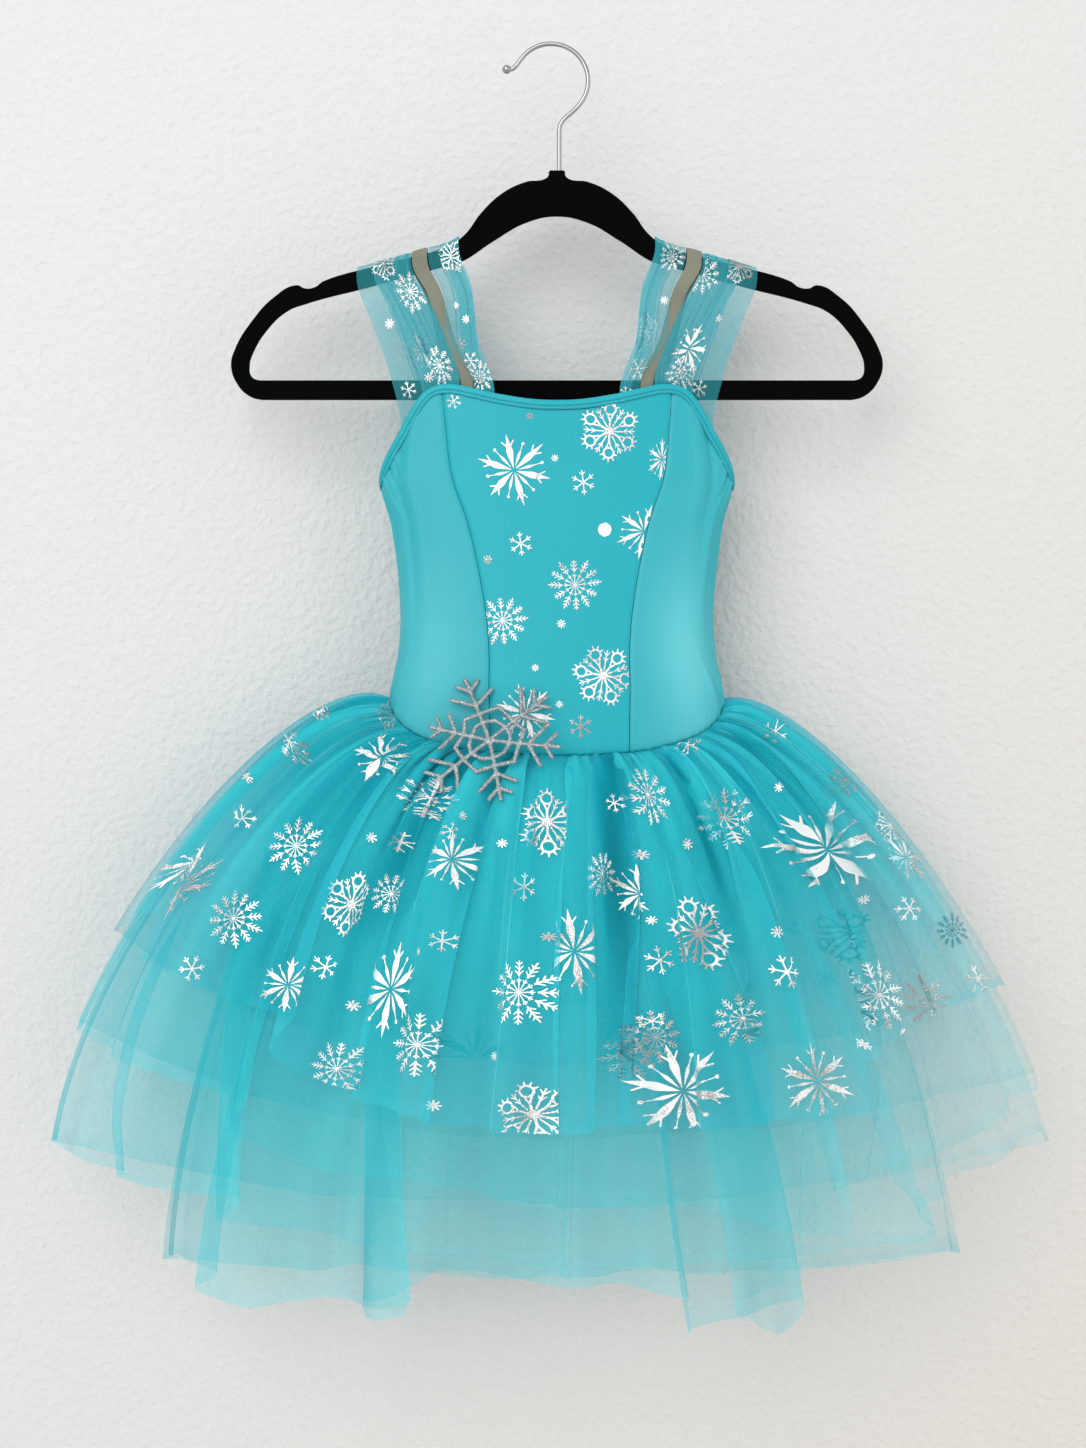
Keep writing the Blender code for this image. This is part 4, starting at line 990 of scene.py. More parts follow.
strap_grids = {}
for strap, node, set_back, *edges in STRAPS:
    for side_name, side in (("right", 1.0), ("left", -1.0)):
        tulle = strap != "elastic"
        shares = np.linspace(0.0, 1.0, 61 if tulle else 13)
        lanes = []
        for share in np.linspace(0.0, 1.0, STRAP_LANES):
            path = strap_path(set_back, *(near + (far - near) * share for near, far in edges))
            lanes.append(smooth_line(path, STRAP_ROWS))
        lanes = np.array(lanes)
        normals = -grid_normals(lanes.transpose(1, 0, 2))
        row_share = np.linspace(0.0, 1.0, STRAP_ROWS)[:, None]
        free = np.clip(np.minimum(row_share, 1.0 - row_share) / 0.10, 0.0, 1.0)
        over_arm = np.exp(-(((row_share - 0.5) / 0.05) ** 2))
        if tulle:
            moved = np.broadcast_to(shares, (STRAP_ROWS, len(shares))).copy()
            out = np.zeros_like(moved)
            for at, wide, fold, push in STRAP_PLEATS[strap]:
                sway = at + 0.03 * np.sin(row_share * 9.0 + at * 20.0)
                t = (shares[None, :] - sway) / wide
                bend = t * np.exp(-t * t / 2.0)
                moved -= fold * wide * bend * (0.6 + 0.4 * free)
                out += push * (np.exp(-t * t / 2.0) * 0.5 + bend) * (1.0 - 0.5 * over_arm)
            slope = np.gradient(moved, shares, axis=1)
            crease = np.exp(-((slope / 0.22) ** 2))
            # The same strip comes back behind itself over part of its width
            first, last = STRAP_DOUBLED[strap]
            under = np.linspace(first, last, 26)[None, :] + 0.02 * np.sin(row_share * 7.0)
            under_out = np.full((STRAP_ROWS, 26), -0.45) + 0.15 * np.sin(under * 40.0)
            sheets = [on_strap(lanes, normals, moved, out + 0.1), on_strap(lanes, normals, under, under_out)]
            creases = [crease, np.exp(-(((under - last) / 0.02) ** 2)) * 0.8]
            covers = [0.36 + 0.36 * crease, np.full((STRAP_ROWS, 26), 0.54)]
        else:
            middle = 1.0 - (2.0 * shares - 1.0) ** 2
            out = np.broadcast_to(0.35 * middle, (STRAP_ROWS, len(shares)))
            sheets = [on_strap(lanes, normals, np.broadcast_to(shares, out.shape), out)]
        points, faces, cover_values, crease_values = [], [], [], []
        for k, sheet in enumerate(sheets):
            sheet = sheet * np.array([side, 1.0, 1.0]) + np.array([CENTRE_X, 0.0, 0.0])
            rows, columns = sheet.shape[:2]
            base = sum(len(p) for p in points)
            face = grid_faces(rows, columns, False) + base
            faces.append(face[:, ::-1] if side > 0 else face)
            points.append(sheet.reshape(-1, 3))
            if tulle:
                cover_values.append(np.broadcast_to(covers[k], (rows, columns)).ravel())
                crease_values.append(np.broadcast_to(creases[k], (rows, columns)).ravel())
            if k == 0:
                strap_grids[f"{strap}_{side_name}"] = sheet
                wide = float(np.linalg.norm(np.diff(sheet, axis=1), axis=-1).sum(axis=1).mean())
                long = float(np.linalg.norm(np.diff(sheet, axis=0), axis=-1).sum(axis=0).mean())
        name = f"{strap}_{side_name}" if tulle else f"strap_elastic_{side_name}_braid"
        piece = add_piece(
            name, np.concatenate(points), np.concatenate(faces), strap_tulle if tulle else elastic,
            [f"{node}_{side_name}"],
        )
        if tulle:
            set_values(piece, "cover", np.concatenate(cover_values))
            set_values(piece, "crease", np.concatenate(crease_values))
            set_values(piece, "tone", np.full(len(piece.data.vertices), 0.6))
            front = strap_grids[name][: STRAP_ROWS // 2]
            prints = print_foil(f"{name}_foil", front, STRAP_FLAKES[name], side=-side)
        else:
            thick = piece.modifiers.new("braid", "SOLIDIFY")
            thick.thickness = 0.9 * MM
            thick.offset = 0.0

# Skirt
# Four rings of tulle, the top one printed, each cut much wider than the waist, gathered on a thread and sewn
# into the waist seam. The net folds over on itself in long pleats that open towards the hem.

# How far below the waist seam and inside the bodice's face the nets start
WAIST_GAP = 0.7
WAIST_TUCK = 1.0
WAYS = ("front", "back", "right", "left")
# Columns: reach from the centre line, drop, share of the way out and rise of the first pull, shares of the
# way out and down of the second pull
SKIRT_FALL = {
    "front": (132.0, 836.0, 0.25, 3.0, 0.85, 0.35),
    "back": (42.0, 815.0, 0.40, -26.0, 0.90, 0.34),
    "right": (350.0, 750.0, 0.24, 3.0, 0.80, 0.47),
    "left": (359.0, 750.0, 0.28, 21.0, 0.91, 0.55),
}
# Squareness of the skirt seen from above
PLAN_POWER = 2.1
# Columns: piece, node, finish, drop of the hem at the front, back, right and left, share of the narrow fall
# that the layer takes, way down at which its own folds start, cover at the hem, share of it lost towards the
# front hem
SKIRT_LAYERS = (
    ("overskirt_net", "overskirt_printed", "printed_tulle", 722.0, 700.0, 642.0, 606.0, 0.0, 0.4, 0.27, 0.25),
    ("middle_net", "tulle_middle", "plain_tulle", 768.0, 750.0, 700.0, 664.0, 0.0, 0.78, 0.26, 0.60),
    ("wide_net", "tulle_wide", "plain_tulle", 818.0, 796.0, 744.0, 744.0, 0.0, 0.88, 0.27, 0.62),
    ("long_net", "tulle_long", "plain_tulle", 846.0, 842.0, 818.0, 824.0, 1.0, 0.55, 0.30, 0.15),
)
# What the lower edge loses in reach, and gains in drop, where a layer falls narrow. All of it is lost this share
# of the way down
NARROW = {"front": (26.0, 26.0), "back": (6.0, 30.0), "right": (56.0, 78.0), "left": (72.0, 78.0)}
NARROW_BY = 0.5
# How far each layer lies inside the one over it at the waist, and how much is added to that at the lower edge
LAYER_STEP = 1.8
LAYER_SPREAD = 6.0
# Way down above which gathers stand out as they do there, and the power by which the folds grow
SEAM_LEAN = 0.1
FOLD_GROWTH = 1.25
# The largest folds. Columns: across at the lower edge, half width, out, lean sideways, extra length. Those of
# "skirt" run through every layer
FOLDS = {
    "skirt": {
        "front": (
            (-262, 30, 8, 0, -12), (-200, 34, -7, 0, -26), (-130, 34, 9, -5, 2), (-56, 26, -8, 0, -3),
            (4, 26, 9, 5, 5), (50, 20, -13, 0, -5), (116, 36, 10, 6, 5), (196, 34, -8, 0, 26),
            (262, 32, 8, 0, 22),
        ),
        "back": (
            (230, 36, 6, 0, 3), (120, 36, -6, 0, 0), (5, 36, 6, 0, 4), (-110, 36, -6, 0, 0),
            (-225, 36, 6, 0, 3),
        ),
    },
    "overskirt_printed": {
        "front": (
            (-80, 22, 4, 0, 4), (80, 22, 4, 0, -4), (150, 22, -3, 0, 5),
        ),
    },
    "tulle_middle": {
        "front": (
            (-290, 26, 5, 0, 10), (-235, 24, -2.5, 0, 6), (-160, 30, 6, 0, -6), (-88, 24, -2.5, 0, -14),
            (-20, 26, 5, 4, 0), (84, 26, -2.5, 0, 2), (160, 24, 6, 5, 14), (224, 24, -2.5, 0, -8),
        ),
        "back": (
            (170, 34, 3, 0, 4), (60, 34, -2, 0, 0), (-60, 34, 3, 0, 4), (-170, 34, -2, 0, 0),
        ),
    },
    "tulle_wide": {
        "front": (
            (-300, 24, -7, 0, -4), (-240, 26, 6, 0, -6), (-160, 24, -9, 0, 4), (-94, 22, 6, -5, 6),
            (-26, 20, -8, 0, -6), (76, 22, 6, 5, 0), (150, 26, -8, 0, -26), (222, 26, 6, 5, -30),
            (290, 26, -6, 0, -22),
        ),
        "back": (
            (180, 30, -5, 0, -3), (60, 30, 3, 0, 4), (-50, 30, -5, 0, -3), (-170, 30, 3, 0, 4),
        ),
    },
    "tulle_long": {
        "front": (
            (-262, 26, 8, -4, 28), (-200, 24, -9, 0, 22), (-136, 24, 10, -5, 4), (-74, 20, -10, 0, -16),
            (-8, 18, 6, 0, 8), (70, 20, 8, 4, 4), (134, 24, 8, 5, 14), (200, 24, -8, 0, -20),
            (262, 24, 7, 4, -14),
        ),
        "back": (
            (190, 30, 4, 0, 4), (70, 30, -4, 0, -4), (-50, 30, 4, 0, 5), (-170, 30, -4, 0, -4),
        ),
    },
}
# Pleats where the net folds over on itself. Columns: across at the lower edge, half width, fold (its sign
# says which way it lies), way down where it starts and ends, drift along the edge on the way down
PLEATS = {
    "overskirt_net": {
        "front": (
            (-256, 12, 0.75, 0.62, 1.2, 8), (-204, 12, 2.2, 0.06, 1.2, 10), (-172, 8, 0.85, 0, 1.2, -12),
            (-141, 7, 2.1, 0.03, 1.2, 8), (-128, 9, -2, 0, 0.62, -85), (-104, 10, 0.85, 0, 1.2, -30),
            (-74, 9, 2.1, 0, 1.2, -44), (-40, 11, 0.85, 0, 1.2, -22), (1, 7, -1.9, 0, 1.2, -20),
            (28, 9, 2.2, 0.02, 1.2, -55), (62, 9, -2.3, 0, 1.2, -40), (100, 10, 0.85, 0, 1.2, -20),
            (118, 8, 2, 0.35, 1.2, 90), (163, 8, -2, 0, 1.2, -63), (202, 10, 0.85, 0, 1.2, -40),
            (242, 9, -2.1, 0.03, 1.2, -50), (270, 9, 0.85, 0.05, 1.2, -40), (298, 9, 1.9, 0.08, 1.2, -56),
            (332, 8, 0.85, 0.1, 1.2, -12),
        ),
        "back": (
            (250, 9, 1.8, 0.03, 1.2, 8), (180, 9, -2, 0.02, 1.2, -8), (110, 8, 1.9, 0, 0.8, 6),
            (40, 10, 2.1, 0.02, 1.2, 8), (-30, 8, -1.9, 0, 0.7, -6), (-95, 10, 2, 0.02, 1.2, 8),
            (-165, 8, 1.8, 0.02, 1.2, -6), (-235, 9, -1.9, 0.03, 0.8, 8),
        ),
    },
    "middle_net": {
        "front": (
            (-332, 16, 0.75, 0.4, 1.2, 38), (-234, 34, -1.5, 0.35, 1.2, 41), (-160, 14, 0.7, 0.2, 1.2, 20),
            (-118, 12, 0.75, 0.3, 1.2, 46), (-42, 34, 0.75, 0.3, 1.2, -20), (34, 12, 0.7, 0.2, 1.2, -20),
            (112, 30, -0.75, 0.3, 1.2, 24), (190, 30, -1.8, 0.3, 1.2, 10), (262, 16, 2, 0.4, 1.2, -60),
            (318, 12, 0.85, 0.4, 1.2, 0),
        ),
        "back": (
            (200, 19, 0.7, 0.1, 1.2, 16), (90, 10, -0.7, 0.1, 1.2, -16), (-20, 22, 0.7, 0.1, 1.2, 16),
            (-130, 10, 0.7, 0.1, 1.2, 16), (-240, 17, -0.7, 0.1, 1.2, -16),
        ),
    },
    "wide_net": {
        "front": (
            (-326, 12, 2, 0.5, 1.2, 60), (-250, 30, -1.8, 0.45, 1.2, 60), (-180, 14, 0.7, 0.4, 1.2, 60),
            (-112, 40, 0.75, 0.45, 1.2, 30), (-26, 13, 0.7, 0.4, 1.2, 0), (54, 36, -0.75, 0.4, 1.2, 50),
            (146, 14, 0.7, 0.4, 1.2, 80), (222, 30, -1.7, 0.45, 1.2, 30), (290, 13, 2, 0.5, 1.2, -18),
            (331, 9, 0.85, 0.5, 1.2, -20),
        ),
        "back": (
            (220, 20, -0.7, 0.2, 1.2, -20), (120, 10, 0.7, 0.2, 1.2, 16), (10, 25, 0.7, 0.2, 1.2, 20),
            (-100, 10, -0.7, 0.2, 1.2, -16), (-210, 20, 0.7, 0.2, 1.2, 16),
        ),
    },
    "long_net": {
        "front": (
            (-296, 22, 2.1, 0.45, 1.2, -24), (-186, 44, -2.3, 0.5, 1.2, 84), (-76, 13, 0.72, 0.5, 1.2, 40),
            (-42, 11, 0.7, 0.5, 1.2, 50), (6, 28, -2.4, 0.45, 1.2, 34), (122, 84, 2.1, 0.42, 1.2, 84),
            (282, 20, -2, 0.5, 1.2, 20), (326, 10, 0.75, 0.5, 1.2, 0),
        ),
        "back": (
            (230, 21, 0.7, 0.3, 1.2, 26), (130, 12, -0.7, 0.3, 1.2, -16), (20, 26, 0.7, 0.3, 1.2, 26),
            (-90, 12, 0.7, 0.3, 1.2, 16), (-200, 22, -0.7, 0.3, 1.2, -26),
        ),
    },
}
# Cut edges of the nets over the front, where they hang in corners and steps. Columns: across, drop
HEMS = {
    "overskirt_net": (
        (-281, 590), (-276, 619), (-242, 633), (-205, 644), (-181, 653), (-171, 669), (-160, 684),
        (-127, 700), (-83, 714), (-33, 722), (5, 722), (22, 721), (30, 718), (87, 719), (145, 716),
        (199, 715), (203, 681), (228, 671), (267, 651), (304, 639),
    ),
    "middle_net": (
        (-336, 660), (-307, 676), (-261, 694), (-213, 713), (-164, 734), (-136, 746), (-96, 755), (-45, 762),
        (5, 767), (54, 770), (82, 768), (119, 779), (165, 792), (170, 787), (178, 772), (209, 762),
        (245, 750), (283, 729), (310, 709),
    ),
    "wide_net": (
        (-345, 742), (-329, 749), (-290, 760), (-237, 768), (-194, 783), (-141, 793), (-84, 798), (-20, 805),
        (31, 809), (94, 805), (159, 805), (211, 795), (257, 781), (294, 757), (325, 738),
    ),
    "long_net": (
        (-255, 823), (-229, 836), (-201, 846), (-164, 840), (-131, 835), (-127, 845), (-119, 847),
        (-101, 847), (-75, 838), (-53, 818), (-20, 827), (5, 833), (26, 835), (29, 859), (57, 849), (89, 842),
        (94, 849), (119, 862), (136, 864), (162, 852), (176, 846), (180, 849), (209, 835), (241, 825),
        (273, 818),
    ),
}
# Share of the way down where the net starts to lengthen or shorten towards its cut edge
HEM_PULL_FROM = 0.5
# Rise of a pleat as a share of its half width, and the half width above which it rises no more
PLEAT_RISE = 0.26
PLEAT_DEEP = 24.0
# Deep gaps between folds, painted in shade, and ridges painted lighter as they catch the light. Columns: across
# at the lower edge, half width, way down where it starts and ends, drift, tone (below 0 is painted shade, above
# 0 painted light), cover added as a share
GAPS = (
    (49, 9, 0.02, 0.86, -44, -1, 0.55), (-150, 8, 0.02, 0.62, -30, -0.7, 0.35),
    (148, 8, 0.02, 0.6, -60, -0.7, 0.3), (-88, 7, 0.02, 0.55, -44, -0.6, 0.25),
    (-190, 6, 0.25, 0.8, 10, 0.7, 0), (20, 6, 0.1, 0.9, -40, 0.7, 0), (78, 6, 0.1, 0.9, -32, 0.6, 0),
    (-62, 6, 0.1, 0.9, -44, 0.6, 0), (-120, 5, 0.05, 0.95, -60, 0.8, 0), (-104, 4, 0.3, 1.1, 30, 0.7, 0),
    (-30, 5, 0.05, 0.9, -24, 0.7, 0), (6, 4, 0.15, 1, -12, 0.8, 0), (112, 5, 0.05, 0.8, -30, 0.8, 0),
    (176, 5, 0.05, 0.95, -56, 0.7, 0), (205, 4, 0.1, 0.8, -30, 0.7, 0), (-240, 6, 0.05, 0.7, 4, 0.6, 0),
    (228, 9, 0.05, 0.55, -50, -0.5, 0.25), (-228, 9, 0.05, 0.5, 0, -0.4, 0.2),
)
# Gathers at the waist thread, shared so that the layers nest. Columns: length along the lower edge, depth,
# way down of the deepest part, curl (above 1 a gather folds over), phase
GATHERS = (
    (17.0, 1.9, 0.06, 1.40, 0.3),
    (39.0, 3.3, 0.17, 1.15, 1.9),
    (71.0, 4.4, 0.42, 0.25, 0.8),
)
# How far the gathers of each layer wander off those of the layer over it
GATHER_OWN = 0.45
# Streaks of light and shade, and how much paler the net is for each mm that it stands out
TONE_BY_DEPTH = 0.05
# Columns: length along the lower edge, weight, phase
STREAKS = ((23.0, 0.36, 0.5), (47.0, 0.50, 1.7), (97.0, 0.55, 0.2))
# Length between the columns of points at the front and at the back
FRONT_STEP = 1.0
BACK_STEP = 2.3
SKIRT_ROWS = 44
# Height of the firmer cut edge, and the cover that it adds
HEM_EDGE = 0.8
HEM_COVER = 0.11

# Rows of flakes on the back. Columns: drop, reach each way
BACK_FLAKE_ROWS = ((478, 120), (520, 175), (565, 200), (608, 205), (648, 185), (685, 100))
BACK_FLAKE_EVERY = 46.0
BACK_FLAKE_KINDS = (
    ("fern", 40), ("speck", 7), ("star", 56), ("small", 17), ("rings", 44), ("speck", 7), ("small", 18),
)
# Flakes printed on the front of the top net. Columns: kind, across, drop, width, height, spin in degrees,
# dullness, and "behind" for those seen through the net
SKIRT_FLAKES = (
    ("fern", -112, 453, 38, 17, 0, 0.2), ("fern", -177, 474, 48, 18, 10, 0.2),
    ("star", -115, 484, 45, 43, 6, 0.1), ("small", -209, 526, 23, 17, 0, 0),
    ("fern", -169, 542, 39, 40, 4, 0), ("fern", -208, 586, 42, 39, 0, 0.1),
    ("star", -246, 566, 40, 44, 10, 0.2), ("small", -236, 623, 23, 19, 0, 0),
    ("rings", -131, 577, 30, 45, 8, 0.2), ("fern", -103, 575, 18, 28, 0, 0.1),
    ("small", -100, 540, 21, 15, 0, 0.2), ("fern", -78, 512, 48, 31, 0, 0.2),
    ("speck", -119, 536, 7, 7, 0, 0), ("speck", -57, 523, 6, 6, 0, 0), ("speck", -34, 541, 6, 6, 0, 0),
    ("speck", -3, 601, 6, 6, 0, 0.2), ("speck", -128, 638, 7, 7, 0, 0), ("speck", -73, 709, 7, 7, 0, 0),
    ("speck", -38, 673, 6, 6, 0, 0), ("speck", 88, 542, 7, 8, 0, 0), ("speck", 148, 598, 8, 8, 0, 0),
    ("small", 62, 650, 14, 14, 0, 0.1), ("speck", 59, 548, 6, 7, 0, 0), ("speck", 63, 589, 6, 6, 0, 0),
    ("speck", 206, 579, 8, 6, 0, 0.3), ("speck", 202, 669, 7, 7, 0, 0), ("speck", 231, 664, 6, 6, 0, 0),
    ("speck", 153, 505, 10, 6, 0, 0), ("star", -171, 633, 30, 38, 5, 0.2), ("small", -146, 615, 16, 17, 0, 0),
    ("star", -106, 628, 29, 63, 0, 0), ("fern", -89, 670, 39, 43, 0, 0.2), ("fern", -141, 686, 38, 36, 0, 0),
    ("star", -62, 553, 38, 41, 12, 0.1), ("rings", -4, 528, 35, 49, 0, 0),
    ("small", -20, 566, 18, 20, 0, 0.1), ("small", -68, 604, 13, 15, 0, 0.5),
    ("fern", -23, 634, 43, 44, 0, 0), ("rings", -13, 711, 44, 43, 12, 0.35), ("star", 17, 610, 28, 56, 4, 0),
    ("fern", 34, 560, 16, 30, 0, 0.2), ("small", 40, 516, 11, 14, 0, 0), ("fern", 63, 509, 27, 47, 0, 0),
    ("star", 55, 573, 25, 41, 0, 0), ("small", 68, 613, 18, 20, 0, 0),
    ("fern", 42, 672, 36, 39, 0, 1, "behind"), ("fern", 114, 525, 42, 44, 0, 0),
    ("star", 183, 547, 87, 70, 18, 0), ("rings", 96, 598, 48, 51, 10, 0.15),
    ("small", 155, 626, 24, 24, 6, 0), ("fern", 214, 635, 41, 49, 0, 0), ("fern", 124, 653, 42, 35, 0, 0.75),
    ("star", 86, 693, 68, 63, 12, 0.1), ("star", 174, 696, 55, 52, 0, 0.25),
    ("small", 239, 586, 16, 19, 0, 0), ("fern", 266, 601, 31, 24, 0, 2), ("fern", 252, 645, 39, 42, 0, 0.9),
    ("small", 287, 633, 25, 21, 0, 0), ("star", 242, 554, 25, 42, 10, 0), ("fern", 199, 500, 27, 23, 0, 0.3),
    ("small", 153, 467, 21, 18, 0, 0.3), ("small", 91, 475, 24, 18, 0, 0.3),
    ("fern", 66, 662, 30, 36, 0, 0.8), ("rings", -157, 453, 46, 11, 0, 0.3),
    ("small", -66, 534, 13, 13, 0, 0.2), ("speck", -88, 611, 5, 5, 0, 0), ("rings", 231, 531, 29, 27, 0, 0.4),
    ("speck", -206, 497, 10, 6, 0, 0.3),
)


def blend(turn, values):
    """Value round the body from one for each direction, in the order front, back, right, left."""
    front, back, right, left = values
    ahead, aside = np.cos(turn), np.sin(turn)
    return np.where(ahead >= 0, front, back) * ahead ** 2 + np.where(aside >= 0, right, left) * aside ** 2


def fall(turn, column):
    return blend(turn, [SKIRT_FALL[way][column] for way in WAYS])


def lower_edge(turn, narrow):
    """Point of the skirt's lower edge before its folds."""
    across, ahead = round_shares(turn, PLAN_POWER)
    reach = {way: SKIRT_FALL[way][0] - narrow * NARROW[way][0] for way in WAYS}
    wide = np.where(across >= 0, reach["right"], reach["left"])
    deep = np.where(ahead >= 0, reach["front"], reach["back"])
    down = fall(turn, 1) + narrow * blend(turn, [NARROW[way][1] for way in WAYS])
    return np.stack([CENTRE_X + wide * across, -deep * ahead, -down], axis=-1)


def fall_point(turn, way, narrow):
    """Point of the smooth fall at this share of the way from the waist seam to the lower edge."""
    turn, way = np.broadcast_arrays(np.asarray(turn, float), np.asarray(way, float))
    narrow = narrow * np.minimum(1.0, way / NARROW_BY)
    waist = waist_drop(turn)
    normal = bodice_normal(turn, waist)
    flat = unit(normal * np.array([1.0, 1.0, 0.0]))
    start = bodice_point(turn, waist) - flat * WAIST_TUCK - np.array([0.0, 0.0, WAIST_GAP])
    end = lower_edge(turn, narrow)
    level = (end - start) * np.array([1.0, 1.0, 0.0])
    down = np.array([0.0, 0.0, 1.0])
    first = start + level * fall(turn, 2)[..., None] + down * fall(turn, 3)[..., None]
    second = start + level * fall(turn, 4)[..., None]
    second = second + down * ((end - start)[..., 2] * fall(turn, 5))[..., None]
    t = way[..., None]
    left = 1.0 - t
    return start * left ** 3 + first * 3 * left * left * t + second * 3 * left * t * t + end * t ** 3


def fall_normal(turn, way, narrow):
    step = 0.01
    down = fall_point(turn, way + step, narrow) - fall_point(turn, np.maximum(way - step, 0.0), narrow)
    around = fall_point(turn + step, way, narrow) - fall_point(turn - step, way, narrow)
    return unit(np.cross(down, around))


def way_to(turn, drop, narrow):
    """Way at which the smooth fall has come down to this drop."""
    low, high = np.full(np.shape(turn), 0.2), np.full(np.shape(turn), 1.25)
    for _ in range(24):
        middle = (low + high) / 2.0
        above = -fall_point(turn, middle, narrow)[..., 2] < drop
        low, high = np.where(above, middle, low), np.where(above, high, middle)
    return low


edge_turns = np.linspace(-math.pi, math.pi, 2881)
edge_line = lower_edge(edge_turns, 0.0)
edge_along = running_length(edge_line)
edge_along -= np.interp(0.0, edge_turns, edge_along)
edge_low, edge_high = edge_along[0], edge_along[-1]
edge_round = edge_high - edge_low


def turn_at(along):
    """Turn at this distance along the lower edge from the front centre, going round without end."""
    laps = np.floor((along - edge_low) / edge_round)
    return np.interp(along - laps * edge_round, edge_along, edge_turns) + laps * 2.0 * math.pi


def along_at(side, across):
    """Distance along the lower edge of the place this far across, on the front or back."""
    reach = SKIRT_FALL["right" if across >= 0 else "left"][0]
    share = max(-1.0, min(1.0, across / reach))
    turn = math.asin(math.copysign(abs(share) ** (PLAN_POWER / 2.0), share))
    if side == "back":
        turn = math.copysign(math.pi, across) - turn
    return float(np.interp(turn, edge_turns, edge_along))


def fold_shift(rows, turn):
    """Move of the lower edge by these folds of front and back: out, sideways and down."""
    here = lower_edge(turn, 0.0)
    run = (lower_edge(turn + 0.004, 0.0) - lower_edge(turn - 0.004, 0.0)) * np.array([1.0, 1.0, 0.0])
    sideways = unit(run)
    outwards = np.stack([sideways[..., 1], -sideways[..., 0], np.zeros_like(turn)], axis=-1)
    shift = np.zeros_like(here)
    for side, folds in rows.items():
        for across, half, out, lean, extra in folds:
            at = lower_edge(turn_at(np.array(along_at(side, across))), 0.0)
            weight = np.exp(-((np.linalg.norm((here - at)[..., :2], axis=-1) / half) ** 2))
            shift += (outwards * out + sideways * lean - np.array([0.0, 0.0, extra])) * weight[..., None]
    return shift


def ramp(value, start, end):
    t = np.clip((value - start) / (end - start), 0.0, 1.0)
    return t * t * (3.0 - 2.0 * t)


columns_along = [edge_low]
while columns_along[-1] < edge_high - 0.5 * BACK_STEP:
    in_front = math.cos(float(turn_at(np.array(columns_along[-1])))) > -0.12
    columns_along.append(columns_along[-1] + (FRONT_STEP if in_front else BACK_STEP))
columns_along = np.array(columns_along[:-1])

# Nobody has seen the back's print, so the same flakes are spread over it evenly
scatter = random.Random(11)
back_flakes = []
for row, (drop, reach) in enumerate(BACK_FLAKE_ROWS):
    count = round(2.0 * reach / BACK_FLAKE_EVERY)
    for k in range(count + 1):
        kind, size = BACK_FLAKE_KINDS[(3 * row + k) % len(BACK_FLAKE_KINDS)]
        across = -reach + 2.0 * reach * k / count + scatter.uniform(-9.0, 9.0)
        down = drop + scatter.uniform(-12.0, 12.0)
        back_flakes.append((kind, across, down, size, size, scatter.uniform(0.0, 30.0), 0.1))


def gather_net(way, round_turn, index):
    """Shift along the edge and push out of the gathers at the waist thread."""
    shift, out = np.zeros(way.shape), np.zeros(way.shape)
    for length, depth, deepest, curl, phase in GATHERS:
        count = round(edge_round / length)
        own = GATHER_OWN * index * ramp(way, 0.05, 0.5)
        wander = 1.5 * np.sin(7.0 * round_turn + phase) + 0.9 * np.sin(19.0 * round_turn + 2.0 * phase)
        swing = count * round_turn + wander + phase + own * (2.0 + np.sin(5.0 * round_turn))
        uneven = 0.75 + 0.35 * np.sin(11.0 * round_turn + 3.0 * phase)
        uneven = uneven + 0.25 * np.sin(23.0 * round_turn + phase)
        swell = way / deepest * np.exp(1.0 - way / deepest)
        out += depth * swell * uneven * np.cos(swing)
        sway = curl * length / (4.0 * math.pi) * np.sin(2.0 * swing)
        shift += sway * swell ** 2 * np.clip(uneven, 0.3, 1.1)
    return shift, out


def pleat_net(sides, way, along):
    """Shift along the edge, push out and light of the pleats where the net folds over on itself."""
    shift, out, lit = np.zeros(way.shape), np.zeros(way.shape), np.zeros(way.shape)
    for side, pleats in sides.items():
        for across, wide, fold, starts, ends, drift in pleats:
            at = along_at(side, across) + drift * (way - 0.5) + 0.12 * abs(drift) * np.sin(6.0 * way + across)
            away = (along - at + edge_round / 2.0) % edge_round - edge_round / 2.0
            width = wide * (0.75 + 0.35 * way)
            t = away / width
            bend = t * np.exp(-t * t / 2.0)
            strength = ramp(way, starts, starts + 0.18)
            if ends < 1.0:
                strength = strength * (1.0 - ramp(way, ends - 0.15, ends))
            shift -= abs(fold) * width * bend * strength
            lit += 0.22 * strength * np.exp(-((t / 0.8) ** 2))
            rise = math.copysign(PLEAT_RISE, fold) * np.minimum(width, PLEAT_DEEP)
            out += rise * bend * strength * (0.35 + 0.65 * way)
    return shift, out, lit


# The third colour of each net is the sheen painted along its fold lines
nets = {
    "printed_tulle": tulle_finish(
        "printed_tulle", (0.002, 0.42, 0.55, 1.0), (0.058, 0.77, 0.88, 1.0), (0.22, 0.90, 0.96, 1.0), 0.5,
    ),
    "plain_tulle": tulle_finish(
        "plain_tulle", (0.004, 0.52, 0.61, 1.0), (0.050, 0.81, 0.88, 1.0), (0.26, 0.86, 0.92, 1.0), 0.5,
    ),
}

